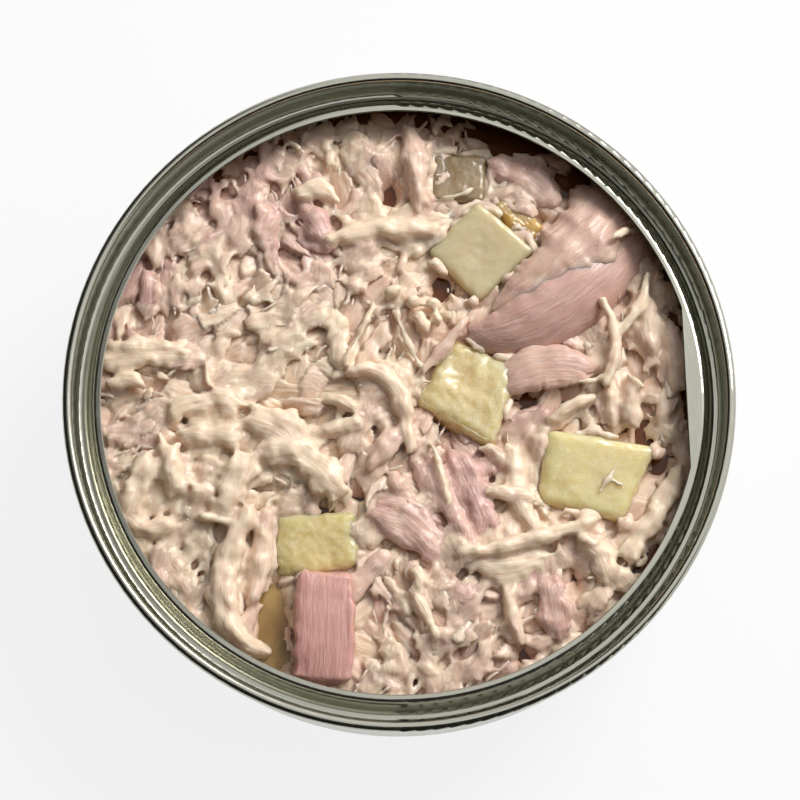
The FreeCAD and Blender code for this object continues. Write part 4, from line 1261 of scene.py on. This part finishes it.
tree.links.new(mix.outputs[0], tree.nodes["Material Output"].inputs["Surface"])
floor.data.materials.append(floor_material)
print("floor", tuple(floor.dimensions), "m, glows for", GLOW_SHARE, "of what the camera sees")

# %% [markdown]
# ## Light
# A bright even room gives the fill. One large soft lamp stands high at the back right, and
# throws the rim's shadow onto the food on that side. A smaller lamp would cut harder
# shadows than wet food shows.

# %% Light
FILL = 1.0
world = bpy.data.worlds.new("studio")
bpy.context.scene.world = world
world.use_nodes = True
tree = world.node_tree
backdrop = tree.nodes["Background"]
backdrop.inputs["Color"].default_value = (1, 1, 1, 1)
backdrop.inputs["Strength"].default_value = FILL

lamp_data = bpy.data.lights.new("soft_key", "AREA")
lamp_data.size = 0.26
lamp_data.energy = 2.9
lamp_data.color = (1.0, 0.985, 0.96)
lamp = put("soft_key", lamp_data)
FOOD_MIDDLE = (0.0, 0.0, 0.02)
LAMP_TURN, LAMP_RISE, LAMP_REACH = math.radians(48), math.radians(43), 0.6
lamp.location = (LAMP_REACH * math.cos(LAMP_RISE) * math.cos(LAMP_TURN),
                 LAMP_REACH * math.cos(LAMP_RISE) * math.sin(LAMP_TURN),
                 LAMP_REACH * math.sin(LAMP_RISE))


def point_at(thing, target):
    """Turn a lamp or camera to look at a place."""
    thing.rotation_euler = (Vector(target) - thing.location).to_track_quat("-Z", "Y").to_euler()


point_at(lamp, FOOD_MIDDLE)
print(f"lamp of {lamp_data.energy:.1f} W, {lamp_data.size:.2f} m wide, {LAMP_REACH} m away")

# %% [markdown]
# ## Dark screens
# A tin is a ring of mirrors. What makes its far wall look dark is something dark for it to
# mirror, so two dull cloth screens lean over it from the near side and from the left. They
# only serve the metal: the camera doesn't see them, so they hide nothing from any side.

# %% Dark screens
SCREEN_AWAY, SCREEN_OVER, SCREEN_TALL, SCREEN_HALF = 0.30, 0.08, 0.45, 0.45
screen_material, tree, shader = new_material("dull_dark_cloth")
shader.inputs["Base Color"].default_value = colour("161512")
shader.inputs["Roughness"].default_value = 1.0
for name, turn in (("screen_near", 0.0), ("screen_left", -math.pi / 2)):
    corners = [(-SCREEN_HALF, -SCREEN_AWAY, 0), (SCREEN_HALF, -SCREEN_AWAY, 0),
               (SCREEN_HALF, -SCREEN_OVER, SCREEN_TALL),
               (-SCREEN_HALF, -SCREEN_OVER, SCREEN_TALL)]
    cloth = bpy.data.meshes.new(name)
    cloth.from_pydata(corners, [], [(0, 1, 2, 3)])
    cloth.materials.append(screen_material)
    screen = put(name, cloth)
    screen.rotation_euler.z = turn
    screen.visible_camera = False
    print(name, "stands", SCREEN_AWAY, "m away and is", SCREEN_TALL, "m tall")

# %% [markdown]
# ## Camera
# The camera looks down at 78 degrees, as someone standing over the tin would, from close
# by, so the near rim looks a little larger than the far one. A small shift of the lens
# moves the tin in the frame without turning the camera.

# %% Camera
CAMERA_REACH, CAMERA_TILT, RIM = 280.0, math.radians(12.2), 26.0
camera_data = bpy.data.cameras.new("camera")
camera = put("camera", camera_data)
camera.location = (0, -CAMERA_REACH * math.sin(CAMERA_TILT) * MM,
                   (RIM + CAMERA_REACH * math.cos(CAMERA_TILT)) * MM)
point_at(camera, (0, 0, RIM * MM))
camera_data.lens = 99.8
camera_data.sensor_width = 36.0
camera_data.shift_x = 0.00125
camera_data.shift_y = -0.01125
camera_data.clip_start = 0.01
bpy.context.scene.camera = camera
bpy.context.scene.view_settings.view_transform = "Standard"
print(f"camera {CAMERA_REACH:.0f} mm from the rim, lens {camera_data.lens:.1f} mm")
